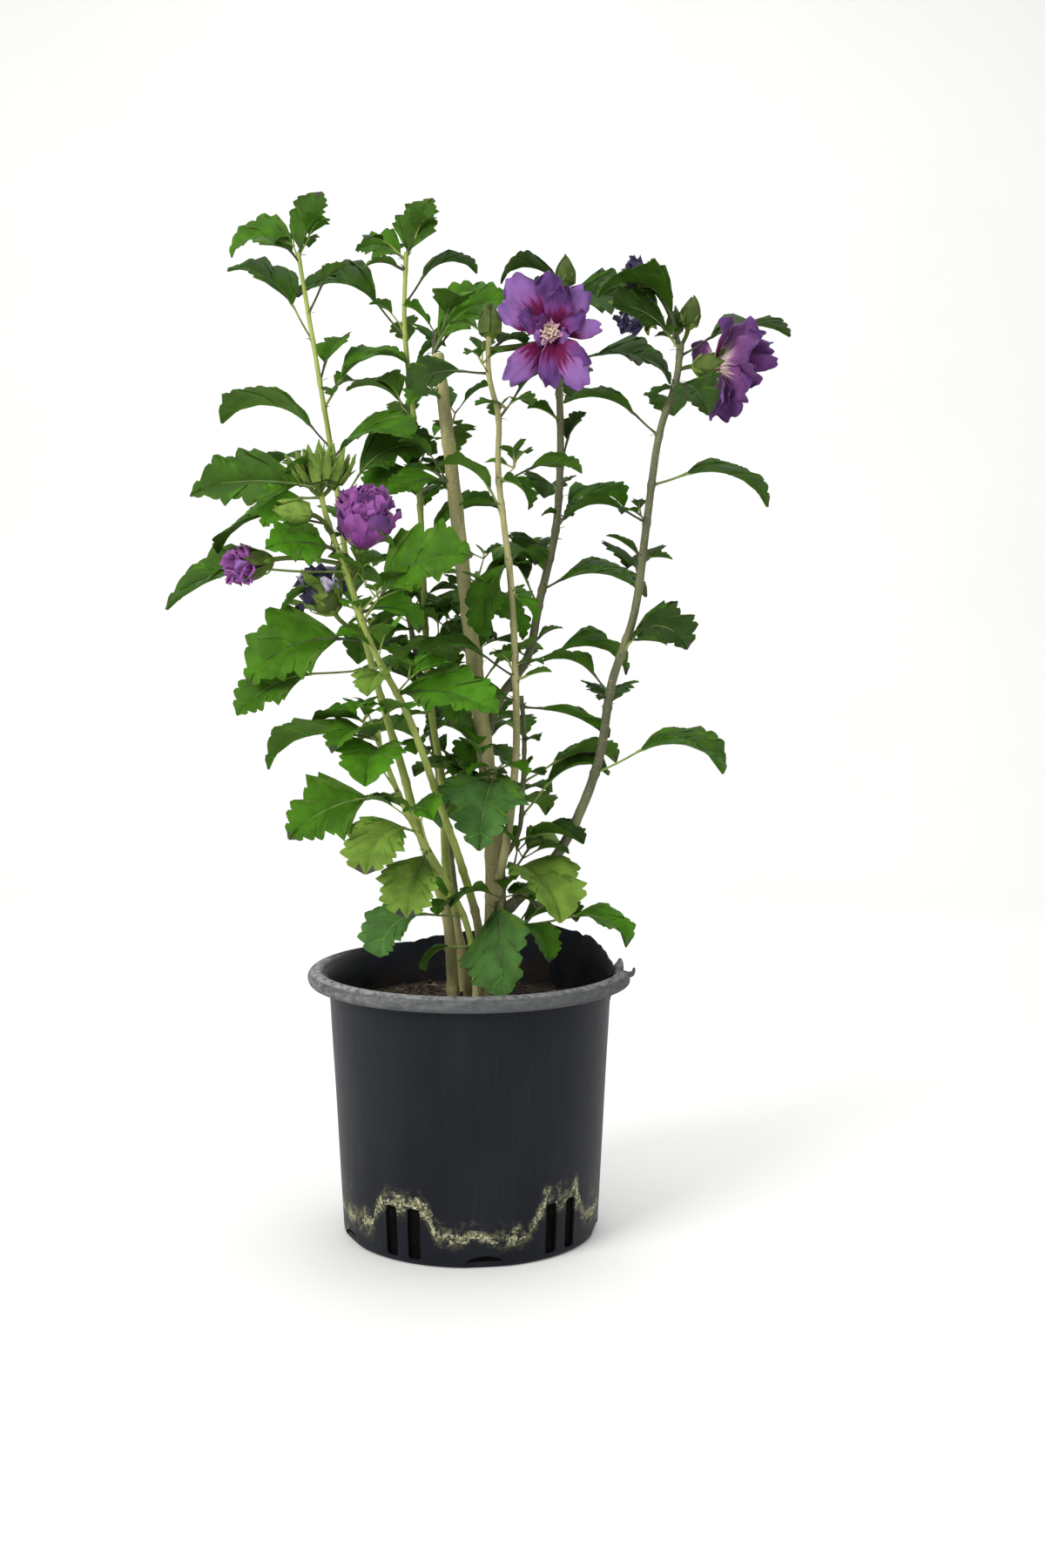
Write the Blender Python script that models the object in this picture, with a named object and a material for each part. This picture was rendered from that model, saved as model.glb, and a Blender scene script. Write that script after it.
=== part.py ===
"""Rose of Sharon shrub in its black nursery pot.

World frame in metres, +Z up, +X to the right and +Y to the back.  The origin
is the middle of the pot's flat underside.  Sizes in the tables are in
millimetres and turned into metres where they are used.
"""
import math
import random

import bmesh
import bpy
from mathutils import Vector
from mathutils.bvhtree import BVHTree

MM = 0.001
GAP = 0.3                 # clearance left between neighbouring solids

# ---- nursery pot -------------------------------------------------------------
POT_HEIGHT = 172.0
POT_FOOT_RADIUS = 83.1
POT_TOP_RADIUS = 90.5
POT_WALL = 1.8
POT_FLOOR = 3.5
LIP_RADIUS = 100.0        # centre line of the rolled lip
LIP_TUBE = 5.0
POT_SEGMENTS = 48
# where the rolled lip has torn off and its wall stands up ragged:
# azimuth in degrees and height of the edge over the pot's own height
TORN_EDGE = ((-6, -1), (2, -7), (10, -2), (20, 4), (32, 10), (46, 11), (57, 15),
             (64, 12), (82, 8), (104, 4), (118, 1))
SLOT_WIDTH = 8.5
SLOT_FOOT = 4.0
SLOT_TOP = 36.0
SLOT_SPREAD = 5.5         # half the angle between the two slots of a pair
PAIR_FIRST = -46.5        # azimuth of the first pair of slots
ARCH_WIDTH = 28.0
ARCH_HEIGHT = 8.0

# ---- soil --------------------------------------------------------------------
SOIL_TOP = 149.0
SOIL_EDGE = 145.0
SOIL_SEGMENTS = 48

# ---- leaves --------------------------------------------------------------------
STALK_HALF = 0.75         # half width of a leaf stalk
LEAF_THICK = 1 / 48       # middle thickness over blade length
LEAF_HALF = 0.42          # half width over blade length
LEAF_FOLD = 34.0          # how far the two halves rise from the midrib, degrees
# along the blade: distance and half width, both as fractions
LEAF_OUTLINE = ((0.12, 0.42), (0.40, 1.0), (0.64, 0.62), (0.86, 0.40))

# ---- stems ---------------------------------------------------------------------
# name, height where the bare bough ends and the leafy shoot goes on,
# radius at the foot, radius at the tip, guide points
STEMS = (
    ("left", 372, 4.4, 0.9,
     ((-11, 2, 145), (-14, 1, 197), (-21, 0, 224), (-36, 0, 270), (-43, 3, 297), (-59, 10, 350),
      (-79, 20, 427), (-89, 30, 495), (-99, 35, 555), (-112, 40, 633))),
    ("left_front", 330, 3.2, 1.2,
     ((9, -14, 145), (6, -17, 197), (-4, -21, 237), (-17, -28, 277), (-36, -42, 334),
      (-58, -52, 379), (-74, -59, 427), (-83, -61, 453), (-89, -63, 478))),
    ("front_low", 184, 2.3, 1.2,
     ((5, -22, 145), (1, -25, 193), (-12, -31, 228), (-35, -42, 270), (-50, -49, 307),
      (-56, -52, 326))),
    ("mid_left", 325, 3.6, 1.0,
     ((-1, 14, 142), (-5, 15, 173), (-16, 19, 231), (-19, 25, 288), (-28, 34, 351),
      (-34, 47, 472), (-38, 51, 527), (-44, 55, 586), (-43, 57, 637))),
    ("centre", 322, 3.3, 1.2,
     ((16, 1, 219), (21, -7, 240), (25, -12, 263), (28, -14, 289), (30, -16, 329),
      (27, -19, 412), (19, -21, 482), (19, -21, 519), (13, -21, 546), (13, -20, 572))),
    ("right_centre", 358, 3.3, 2.0,
     ((8, 4, 315), (20, 9, 346), (37, 12, 371), (45, 15, 408), (55, 18, 452), (58, 20, 491),
      (58, 21, 530), (56, 21, 569), (61, 20, 607))),
    ("right", 294, 4.4, 1.9,
     ((16, 0, 199), (24, -1, 209), (38, -3, 223), (56, -6, 245), (71, -10, 274), (83, -14, 310),
      (90, -18, 355), (104, -22, 400), (111, -26, 456), (118, -28, 508), (128, -28, 540),
      (131, -28, 564))),
    ("back_left", 280, 3.2, 1.3,
     ((-6, 30, 145), (-14, 46, 230), (-28, 68, 320), (-42, 86, 385), (-50, 94, 430))),
    ("back_right", 270, 3.0, 1.3,
     ((9, 28, 145), (11, 50, 225), (6, 80, 310), (4, 102, 380), (2, 114, 430))),
)
TRUNK = ((15, 0, 145), (16, 0, 188), (17, 1, 234), (10, 3, 307), (3, 6, 366), (-5, 8, 432),
         (-10, 9, 479), (-16, 10, 529), (-20, 10, 564))
TRUNK_FOOT = 7.2
TRUNK_TIP = 4.4
TRUNK_FLARE = 2.0
THIN_STEM = ((17, 0, 234), (25, -4, 247), (32, -7, 262), (34, -7, 288), (35, -6, 320),
             (33, -4, 347))

# side sprigs on the trunk and at its foot: name, height on the trunk, direction,
# rise, length, radius
SPRIGS = (
    ("sprig_trunk_top", 550, 120, 58, 14, 1.6),
    ("sprig_upper_front", 534, 230, 30, 8, 1.3),
    ("sprig_upper_left", 480, 205, 35, 12, 1.3),
    ("sprig_upper_right", 512, 80, 30, 7, 1.3),
    ("sprig_middle_left", 372, 165, 35, 12, 1.4),
    ("sprig_middle_right", 404, 60, 35, 12, 1.3),
    ("sprig_low_front", 290, 285, 15, 12, 1.5),
    ("sprig_low_left", 272, 150, 30, 14, 1.4),
    ("sprig_low_back", 258, 80, 30, 16, 1.5),
    ("sprig_low_right", 212, 325, 60, 19, 1.5),
    ("sprig_foot_front", 214, 268, -5, 10, 1.5),
    ("sprig_foot_right", 192, 350, 20, 14, 1.5),
)

# ---- leaves of each shoot --------------------------------------------------------
# height on the stem, direction, stalk, blade, rise, bend and roll of the blade
LEAVES = {
    "shoot_left": (
        (631, 28, 4, 42, 74, 12, 48), (627, 178, 8, 50, 52, 105, -20),
        (594, 345, 21, 24, 62, 70, 0), (576, 165, 28, 56, 60, 60, -20),
        (550, 60, 14, 34, 65, 55, 0), (533, 8, 21, 52, 60, 85, 10), (507, 180, 20, 66, 48, 92, 5),
        (500, 328, 8, 62, 40, 70, 35), (470, 352, 25, 58, 55, 80, 40),
        (452, 95, 14, 42, 40, 70, 0), (419, 60, 14, 46, 40, 70, 0), (397, 120, 17, 46, 40, 70, 0),
        (384, 20, 14, 44, 40, 70, 0),
    ),
    "shoot_left_front": (
        (474, 184, 12, 68, 8, 24, -38), (468, 222, 14, 33, -5, 60, -50),
        (452, 188, 26, 66, 3, 72, -12), (436, 196, 8, 50, 5, 35, -60),
        (424, 176, 51, 74, 2, 45, -15), (420, 168, 10, 36, -10, 35, -20),
        (399, 15, 6, 40, 20, 80, 20), (394, 338, 24, 64, 41, 62, 60),
        (382, 192, 19, 66, 5, 60, -55), (366, 186, 45, 52, -5, 50, -40),
        (362, 255, 6, 32, 5, 60, 0), (350, 337, 3, 68, 12, 45, 32),
    ),
    "shoot_front_low": (
        (322, 188, 17, 60, 12, 60, 0), (321, 232, 6, 48, 25, 60, -10), (314, 262, 7, 48, 15, 80, 0),
        (306, 205, 24, 34, 35, 95, -30), (288, 198, 20, 56, -5, 42, -60),
        (264, 235, 14, 50, 15, 100, -20), (252, 250, 7, 46, -25, 55, 0),
        (238, 80, 10, 40, 30, 70, 0), (209, 196, 26, 44, 5, 95, -25), (189, 186, 14, 24, 0, 90, 0),
    ),
    "shoot_mid_left": (
        (634, 25, 4, 42, 72, 12, 48), (632, 165, 5, 34, 40, 60, -45), (625, 200, 6, 24, 25, 60, 0),
        (603, 18, 23, 44, 56, 95, 0), (582, 172, 31, 60, 60, 92, 0), (556, 15, 14, 22, 60, 60, 0),
        (529, 168, 16, 40, 50, 80, -10), (508, 268, 3, 28, 0, 65, 0),
        (495, 215, 6, 38, -5, 45, -30), (494, 355, 8, 36, 20, 50, 0), (470, 90, 12, 46, 35, 70, 0),
        (438, 12, 17, 56, 60, 80, 0), (430, 190, 12, 36, 20, 60, 0), (390, 195, 12, 38, 0, 70, -20),
        (372, 345, 11, 44, 40, 60, 0), (352, 80, 11, 44, 30, 70, 0), (335, 200, 6, 22, 0, 50, 0),
    ),
    "sprig_trunk_top": (
        (566, 352, 9, 54, 64, 70, 55), (566, 30, 17, 20, 50, 60, 0),
        (566, 110, 14, 40, 40, 70, 0),
    ),
    "sprig_upper_front": ((538, 235, 3, 28, 10, 60, -30),),
    "sprig_upper_left": ((484, 200, 4, 36, 5, 40, -30), (483, 160, 8, 34, 30, 60, 0)),
    "sprig_upper_right": ((519, 85, 3, 32, 15, 80, 0),),
    "sprig_middle_left": ((379, 170, 6, 44, 10, 60, -10), (379, 110, 6, 34, 10, 70, 0)),
    "sprig_middle_right": ((409, 350, 8, 38, -10, 70, 30), (408, 95, 9, 42, 30, 60, 0)),
    "sprig_low_front": ((294, 260, 3, 64, -8, 66, 0), (292, 212, 8, 44, -15, 70, 0)),
    "sprig_low_left": ((277, 165, 12, 46, 60, 95, 0), (276, 110, 8, 46, 30, 60, 0)),
    "sprig_low_back": ((264, 50, 8, 50, 35, 70, 0), (262, 100, 12, 54, 20, 70, 0)),
    "sprig_low_right": ((236, 312, 2, 68, 22, 100, 0), (236, 5, 18, 38, 30, 80, 25)),
    "sprig_foot_front": ((214, 268, 2, 66, -30, 45, 28),),
    "sprig_foot_right": (
        (199, 350, 34, 44, 12, 78, 20), (198, 306, 4, 38, 10, 90, 0), (197, 35, 8, 46, 30, 70, 0),
    ),
    "shoot_centre": (
        (570, 160, 9, 20, 45, 50, 0), (566, 330, 7, 20, 60, 50, 0), (560, 30, 11, 30, 30, 60, 0),
        (547, 181, 18, 36, 5, 45, -50), (519, 14, 26, 36, 40, 40, 0), (480, 2, 22, 34, 25, 60, -25),
        (482, 330, 4, 32, -5, 70, 0), (467, 178, 3, 24, 5, 12, 0), (462, 160, 16, 46, 52, 75, 0),
        (430, 60, 11, 40, 30, 70, 0), (432, 188, 3, 50, -50, 45, -30), (412, 335, 4, 22, -30, 40, 0),
        (372, 170, 3, 14, 20, 40, 0), (359, 188, 25, 46, 35, 72, -10), (357, 355, 6, 18, 25, 30, 0),
        (344, 195, 6, 46, 20, 85, -20), (392, 300, 10, 40, 30, 80, 0),
    ),
    "shoot_centre_thin": (
        (340, 358, 13, 50, -4, 40, 0), (333, 175, 4, 14, 20, 40, 0), (319, 300, 3, 16, 15, 30, 0),
        (312, 4, 24, 46, 38, 82, 0), (292, 352, 26, 50, 20, 55, 0), (270, 8, 27, 50, 50, 78, 0),
        (253, 352, 14, 46, 12, 52, 0),
    ),
    "shoot_right_centre": (
        (605, 182, 8, 44, 60, 98, 0), (603, 165, 4, 20, 40, 50, 0), (601, 2, 4, 54, 8, 30, 50),
        (560, 2, 27, 55, 12, 58, 28), (523, 176, 4, 20, 40, 40, 0), (494, 35, 18, 25, 72, 40, 0),
        (453, 20, 17, 46, 58, 110, 0), (415, 2, 13, 62, 28, 78, 0), (404, 148, 19, 26, 62, 30, 0),
        (380, 10, 6, 18, 42, 40, 0), (367, 0, 26, 52, 22, 78, 0), (474, 100, 14, 42, 30, 70, 0),
        (540, 80, 12, 44, 35, 70, 0), (435, 110, 12, 44, 30, 70, 0),
    ),
    "shoot_right": (
        (563, 193, 20, 60, 72, 125, 0), (560, 206, 14, 42, 48, 60, -50),
        (556, 352, 25, 64, 22, 55, 0), (540, 312, 9, 40, -14, 55, 20), (538, 205, 3, 18, -10, 50, 0),
        (508, 180, 22, 46, 42, 70, 0), (524, 80, 12, 44, 30, 70, 0), (478, 0, 23, 60, 18, 78, 12),
        (455, 180, 17, 40, 30, 80, 0), (434, 172, 3, 24, 42, 20, 0), (434, 0, 3, 16, 5, 20, 0),
        (418, 95, 14, 46, 30, 70, 0), (383, 0, 6, 20, 0, 15, 0), (372, 337, 12, 56, 48, 118, 22),
        (349, 190, 16, 36, 50, 72, 0), (340, 85, 12, 46, 30, 70, 0),
        (298, 0, 33, 62, 27, 82, 0),
    ),
}
# shoots behind, whose leaves follow one another round the stem by the golden angle:
# name, leaves, blade length, stalk length
ROUND_SHOOTS = (("shoot_back_left", 11, 52, 16), ("shoot_back_right", 11, 52, 16))

# ---- flowers and buds ------------------------------------------------------------
# height on the stem, direction and rise and length of the flower stalk,
# direction and rise of the flower's axis, kind, size
BLOOMS = {
    "shoot_left_front": (
        (477, 200, 60, 5, 200, 70, "bud", 17), (476, 320, 60, 6, 330, 65, "bud", 17),
        (474, 165, 35, 8, 160, 42, "bud", 17), (478, 60, 70, 6, 60, 75, "bud", 18),
        (442, 182, 30, 14, 180, 12, "bud", 18), (428, 202, 3, 43, 195, -12, "opening", 34),
        (418, 25, 66, 17, 330, 80, "pompon", 18), (384, 170, 42, 17, 150, 30, "withered", 19),
    ),
    "shoot_centre": ((570, 130, 75, 4, 130, 80, "bud", 23),),
    "shoot_right_centre": (
        (607, 60, 70, 3, 80, 85, "bud", 20), (564, 255, 15, 26, 262, 0, "open", 36),
    ),
    "shoot_right": (
        (562, 40, 60, 13, 30, 80, "bud", 21), (561, 100, 45, 14, 110, 75, "bud", 16),
        (555, 138, 58, 34, 165, 20, "withered", 15), (548, 350, 12, 9, 348, -2, "double", 37),
    ),
}


def vec(point):
    """A guide point in millimetres as a vector in metres."""
    return Vector(point) * MM


def heading(azimuth, rise):
    """Unit vector at a compass direction round +Z and a rise over the level."""
    a = math.radians(azimuth)
    e = math.radians(rise)
    return Vector((math.cos(a) * math.cos(e), math.sin(a) * math.cos(e), math.sin(e)))


def route(points, pieces=2):
    """Smooth centre line through guide points, by Catmull-Rom."""
    pts = [vec(p) for p in points]
    pts = [pts[0] * 2 - pts[1]] + pts + [pts[-1] * 2 - pts[-2]]
    line = []
    for i in range(1, len(pts) - 2):
        a, b, c, d = pts[i - 1:i + 3]
        for k in range(pieces):
            t = k / pieces
            line.append(0.5 * ((2 * b) + (c - a) * t + (2 * a - 5 * b + 4 * c - d) * t * t
                               + (3 * b - a - 3 * c + d) * t * t * t))
    line.append(pts[-2].copy())
    return line


def point_at(line, height):
    """Point of a rising centre line at one height, and its position along the line."""
    for i in range(len(line) - 1):
        a, b = line[i], line[i + 1]
        if a.z <= height <= b.z:
            t = (height - a.z) / max(b.z - a.z, 1e-9)
            return a.lerp(b, t), i + t
    return (line[0].copy(), 0.0) if height < line[0].z else (line[-1].copy(), len(line) - 1.0)


def stretch(line, low, high):
    """The part of a centre line between two heights, with its positions."""
    first, s0 = point_at(line, low)
    last, s1 = point_at(line, high)
    part = [(first, s0)]
    for i, p in enumerate(line):
        if s0 + 0.25 < i < s1 - 0.25:
            part.append((p.copy(), float(i)))
    part.append((last, s1))
    return part


def tube(points, radii, sides, level_foot=False):
    """Closed round limb with flat ends, as vertices and faces."""
    verts, faces = [], []
    for i, p in enumerate(points):
        ahead = points[min(i + 1, len(points) - 1)] - points[max(i - 1, 0)]
        ahead.normalize()
        if level_foot and i == 0:
            ahead = Vector((0, 0, 1))
        u = ahead.cross(Vector((0.05, 1, 0.02))).normalized()
        v = u.cross(ahead)
        for k in range(sides):
            a = 2 * math.pi * k / sides
            verts.append(p + (u * math.cos(a) + v * math.sin(a)) * radii[i])
    for i in range(len(points) - 1):
        for k in range(sides):
            j = (k + 1) % sides
            faces.append((i * sides + k, (i + 1) * sides + k, (i + 1) * sides + j, i * sides + j))
    faces.append(tuple(range(sides)))
    faces.append(tuple((len(points) - 1) * sides + k for k in reversed(range(sides))))
    return verts, faces


def strip(start, ahead, up, stations, bend, roll, fold, first=0):
    """A stalk and blade as one closed strip with a four-cornered section.

    Each station is (distance, half width, half thickness); the path bends down
    by `bend` degrees over the blade, which starts at station `first`.
    """
    side = ahead.cross(up).normalized()
    up = side.cross(ahead).normalized()
    verts, faces = [], []
    centre = start.copy()
    blade_from = stations[first][0]
    blade_length = max(stations[-1][0] - blade_from, 1e-6)
    tan_fold = math.tan(math.radians(fold))
    last_distance = 0.0
    for i, (distance, half, thick) in enumerate(stations):
        middle = 0.5 * (distance + last_distance)
        share = max(0.0, min(1.0, (middle - blade_from) / blade_length))
        turn = math.radians(bend * share)
        step = ahead * math.cos(turn) - up * math.sin(turn)
        centre = centre + step * (distance - last_distance)
        last_distance = distance
        share = max(0.0, min(1.0, (distance - blade_from) / blade_length))
        turn = math.radians(bend * share)
        d = ahead * math.cos(turn) - up * math.sin(turn)
        n = up * math.cos(turn) + ahead * math.sin(turn)
        r = math.radians(roll) * (min(1.0, distance / blade_from) if blade_from else 1.0)
        s = side * math.cos(r) + d.cross(side) * math.sin(r)
        n = n * math.cos(r) + d.cross(n) * math.sin(r)
        if half <= 0:
            verts.append(centre.copy())
            base = 4 * (i - 1)
            for k in range(4):
                faces.append((base + k, len(verts) - 1, base + (k + 1) % 4))
            break
        lift = half * tan_fold if i >= first and i > 0 else 0.0
        verts += [centre - s * half + n * lift, centre - n * thick,
                  centre + s * half + n * lift, centre + n * thick]
        if i:
            base = 4 * (i - 1)
            for k in range(4):
                j = (k + 1) % 4
                faces.append((base + k, base + 4 + k, base + 4 + j, base + j))
    faces.append((0, 1, 2, 3))
    return verts, faces


def leaf(start, spec, begin=0.0, clear=0.0):
    """A stalked, three-lobed leaf blade; `clear` fattens it for the clash test."""
    azimuth, stalk, blade, rise, bend, roll = spec
    stalk_half = (STALK_HALF + clear) * MM
    thick = (0.5 * LEAF_THICK * blade + clear) * MM
    stations = [(begin * stalk * MM, stalk_half, stalk_half), (stalk * MM, stalk_half, stalk_half)]
    for along, wide in LEAF_OUTLINE:
        stations.append(((stalk + along * blade) * MM,
                         (wide * LEAF_HALF * blade + clear) * MM, thick))
    stations.append(((stalk + blade) * MM, 0, 0))
    ahead = heading(azimuth, rise)
    up = heading(azimuth, rise + 90)
    if begin:
        start = start + ahead * begin * stalk * MM
        stations = [(d - begin * stalk * MM, w, t) for d, w, t in stations]
    fold = max(9.0, LEAF_FOLD - 0.55 * abs(roll))
    return strip(start, ahead, up, stations, bend, roll, fold, 1)


def spindle(start, axis, profile, sides=6):
    """Closed turned solid along an axis; profile is (distance, radius) pairs."""
    points = [start + axis * d * MM for d, _ in profile]
    return tube(points, [r * MM for _, r in profile], sides)


def petals(start, axis, count, size, wide, lean, bend, turn):
    """A ring of broad petals that lean out, bend back and lap over the next one."""
    u = axis.cross(Vector((0.3, 0.2, 1))).normalized()
    v = axis.cross(u)
    made = []
    for k in range(count):
        a = 2 * math.pi * (k + turn) / count
        out = u * math.cos(a) + v * math.sin(a)
        t = math.radians(lean)
        ahead = axis * math.cos(t) + out * math.sin(t)
        up = axis * math.sin(t) - out * math.cos(t)
        half = size * wide * MM
        thick = size * 0.022 * MM
        stations = [(0, half * 0.3, thick), (size * 0.40 * MM, half * 0.9, thick),
                    (size * 0.78 * MM, half, thick), (size * 1.02 * MM, 0, 0)]
        made.append(strip(start + out * 1.2 * MM, ahead, up, stations, bend + 3 * (k % 3), 13,
                          -10, 0))
    return made


def ball(centre, axis, across, along, seed, rough):
    """Closed lumpy ball, longer or shorter along its axis."""
    rng = random.Random(seed)
    bm = bmesh.new()
    bmesh.ops.create_icosphere(bm, subdivisions=2, radius=1.0)
    u = axis.cross(Vector((0.3, 0.2, 1))).normalized()
    v = axis.cross(u)
    verts = []
    for vert in bm.verts:
        x, y, z = vert.co * (1 + rng.uniform(-rough, rough))
        verts.append(centre + (u * x * across + v * y * across - axis * z * along) * MM)
    faces = [tuple(w.index for w in f.verts) for f in bm.faces]
    bm.free()
    return verts, faces


def bloom(start, spec):
    """A flower, an opening flower or a bud on its stalk: (green solids, petal solids)."""
    azimuth, rise, stalk, face, face_rise, kind, size = spec
    ahead = heading(azimuth, rise)
    axis = heading(face, face_rise)
    seat = start + ahead * stalk * MM
    green = [tube([start, seat + axis * 0.6 * MM], [1.1 * MM, 1.1 * MM], 4)]
    colour = []
    if kind == "bud":
        green.append(spindle(seat, axis, ((0, 1.6), (0.3 * size, 0.34 * size),
                                          (0.75 * size, 0.28 * size), (size, 0.6))))
        return green, colour
    if kind == "opening":
        green.append(spindle(seat, axis, ((0, 1.6), (0.3 * size, 0.26 * size),
                                          (0.72 * size, 0.22 * size), (0.8 * size, 2))))
        colour.append(ball(seat + axis * 0.78 * size * MM, axis, 0.27 * size, 0.32 * size, 5, 0.06))
        return green, colour
    calyx = 16 if kind in ("open", "double") else 12
    green.append(spindle(seat, axis, ((0, 1.6), (0.3 * calyx, 0.36 * calyx),
                                      (0.9 * calyx, 0.34 * calyx), (calyx, 2.5))))
    mouth = seat + axis * 0.8 * calyx * MM
    if kind == "open":
        colour += petals(mouth, axis, 6, size, 0.37, 46, 50, 0.35)
        colour += petals(mouth, axis, 3, size * 0.6, 0.35, 21, 40, 0.52)
    elif kind == "double":
        colour += petals(mouth, axis, 6, size, 0.36, 42, 42, 0.1)
        colour += petals(mouth, axis, 4, size * 0.9, 0.3, 14, 30, 0.6)
    elif kind == "pompon":
        colour.append(ball(mouth + axis * 0.85 * size * MM, axis, size, size * 1.02, 3, 0.05))
    else:
        colour.append(ball(mouth + axis * 0.7 * size * MM, axis, size * 0.72, size * 1.05, 9, 0.12))
    return green, colour


# ---- Blender objects ---------------------------------------------------------------
for old in list(bpy.data.objects):
    bpy.data.objects.remove(old, do_unlink=True)


def material(name, colour, roughness, metallic=0.0):
    """A plain Principled material."""
    mat = bpy.data.materials.new(name)
    mat.use_nodes = True
    shader = mat.node_tree.nodes["Principled BSDF"]
    shader.inputs["Base Color"].default_value = (*colour, 1.0)
    shader.inputs["Roughness"].default_value = roughness
    shader.inputs["Metallic"].default_value = metallic
    return mat


PLASTIC = material("black_plastic", (0.028, 0.030, 0.036), 0.55)
EARTH = material("potting_soil", (0.045, 0.030, 0.020), 0.95)
BARK = material("tan_bark", (0.36, 0.29, 0.17), 0.8)
YOUNG = material("green_bark", (0.30, 0.33, 0.13), 0.6)
GREEN = material("hibiscus_leaf", (0.07, 0.20, 0.025), 0.5)
PETAL = material("lilac_petal", (0.36, 0.15, 0.50), 0.6)


def solid(name, shape, mat):
    """A mesh object from vertices and faces, with every face turned outward."""
    mesh = bpy.data.meshes.new(name)
    mesh.from_pydata([tuple(v) for v in shape[0]], [], shape[1])
    bm = bmesh.new()
    bm.from_mesh(mesh)
    bmesh.ops.triangulate(bm, faces=bm.faces)
    bmesh.ops.recalc_face_normals(bm, faces=bm.faces)
    bm.to_mesh(mesh)
    bm.free()
    obj = bpy.data.objects.new(name, mesh)
    obj.data.materials.append(mat)
    bpy.context.scene.collection.objects.link(obj)
    return obj


def apply_boolean(obj, operation, cutter=None, collection=None):
    """Apply one exact Boolean and drop the loose scraps it leaves."""
    mod = obj.modifiers.new("cut", "BOOLEAN")
    mod.operation = operation
    mod.solver = "EXACT"
    mod.material_mode = "TRANSFER"
    if collection:
        mod.operand_type = "COLLECTION"
        mod.collection = collection
    else:
        mod.object = cutter
    graph = bpy.context.evaluated_depsgraph_get()
    mesh = bpy.data.meshes.new_from_object(obj.evaluated_get(graph))
    obj.modifiers.clear()
    obj.data = mesh
    used = collection.objects if collection else (cutter,)
    for piece in list(used):
        bpy.data.objects.remove(piece, do_unlink=True)
    if collection:
        bpy.data.collections.remove(collection)
    keep_largest(obj)


def welded(mesh, flatten):
    """Weld the seams of a joined mesh; `flatten` also drops edges inside flat faces."""
    bm = bmesh.new()
    bm.from_mesh(mesh)
    bmesh.ops.remove_doubles(bm, verts=bm.verts, dist=2e-6)
    bmesh.ops.dissolve_degenerate(bm, edges=bm.edges, dist=2e-6)
    if flatten:
        bmesh.ops.dissolve_limit(bm, angle_limit=0.004, verts=bm.verts, edges=bm.edges,
                                 delimit={"MATERIAL"})
    bmesh.ops.triangulate(bm, faces=bm.faces)
    return bm


def keep_largest(obj):
    """Weld the seams and keep only the connected body with the most faces."""
    bm = welded(obj.data, True)
    if any(len(e.link_faces) != 2 for e in bm.edges):
        bm.free()
        bm = welded(obj.data, False)
    bm.faces.ensure_lookup_table()
    seen, groups = set(), []
    for face in bm.faces:
        if face.index in seen:
            continue
        group, queue = [], [face]
        seen.add(face.index)
        while queue:
            f = queue.pop()
            group.append(f)
            for e in f.edges:
                for g in e.link_faces:
                    if g.index not in seen:
                        seen.add(g.index)
                        queue.append(g)
        groups.append(group)
    groups.sort(key=len, reverse=True)
    for group in groups[1:]:
        bmesh.ops.delete(bm, geom=group, context="FACES")
    loose = [v for v in bm.verts if not v.link_faces]
    bmesh.ops.delete(bm, geom=loose, context="VERTS")
    bm.to_mesh(obj.data)
    bm.free()


def tree_of(shape):
    """Bounding-volume tree of a shape for clash tests."""
    return BVHTree.FromPolygons([tuple(v) for v in shape[0]], shape[1])


# ---- pot -----------------------------------------------------------------------------
def torn(azimuth):
    """How far the lip is torn off at an azimuth (0 to 1), and its edge's height."""
    a = (azimuth + 120) % 360 - 120
    first, last = TORN_EDGE[0][0], TORN_EDGE[-1][0]
    share = max(0.0, min(1.0, (a - first + 6) / 6, (last + 6 - a) / 6))
    height = TORN_EDGE[0][1] if a < first else TORN_EDGE[-1][1]
    for (a0, h0), (a1, h1) in zip(TORN_EDGE, TORN_EDGE[1:]):
        if a0 <= a <= a1:
            height = h0 + (h1 - h0) * (a - a0) / (a1 - a0)
    return share, height


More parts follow.
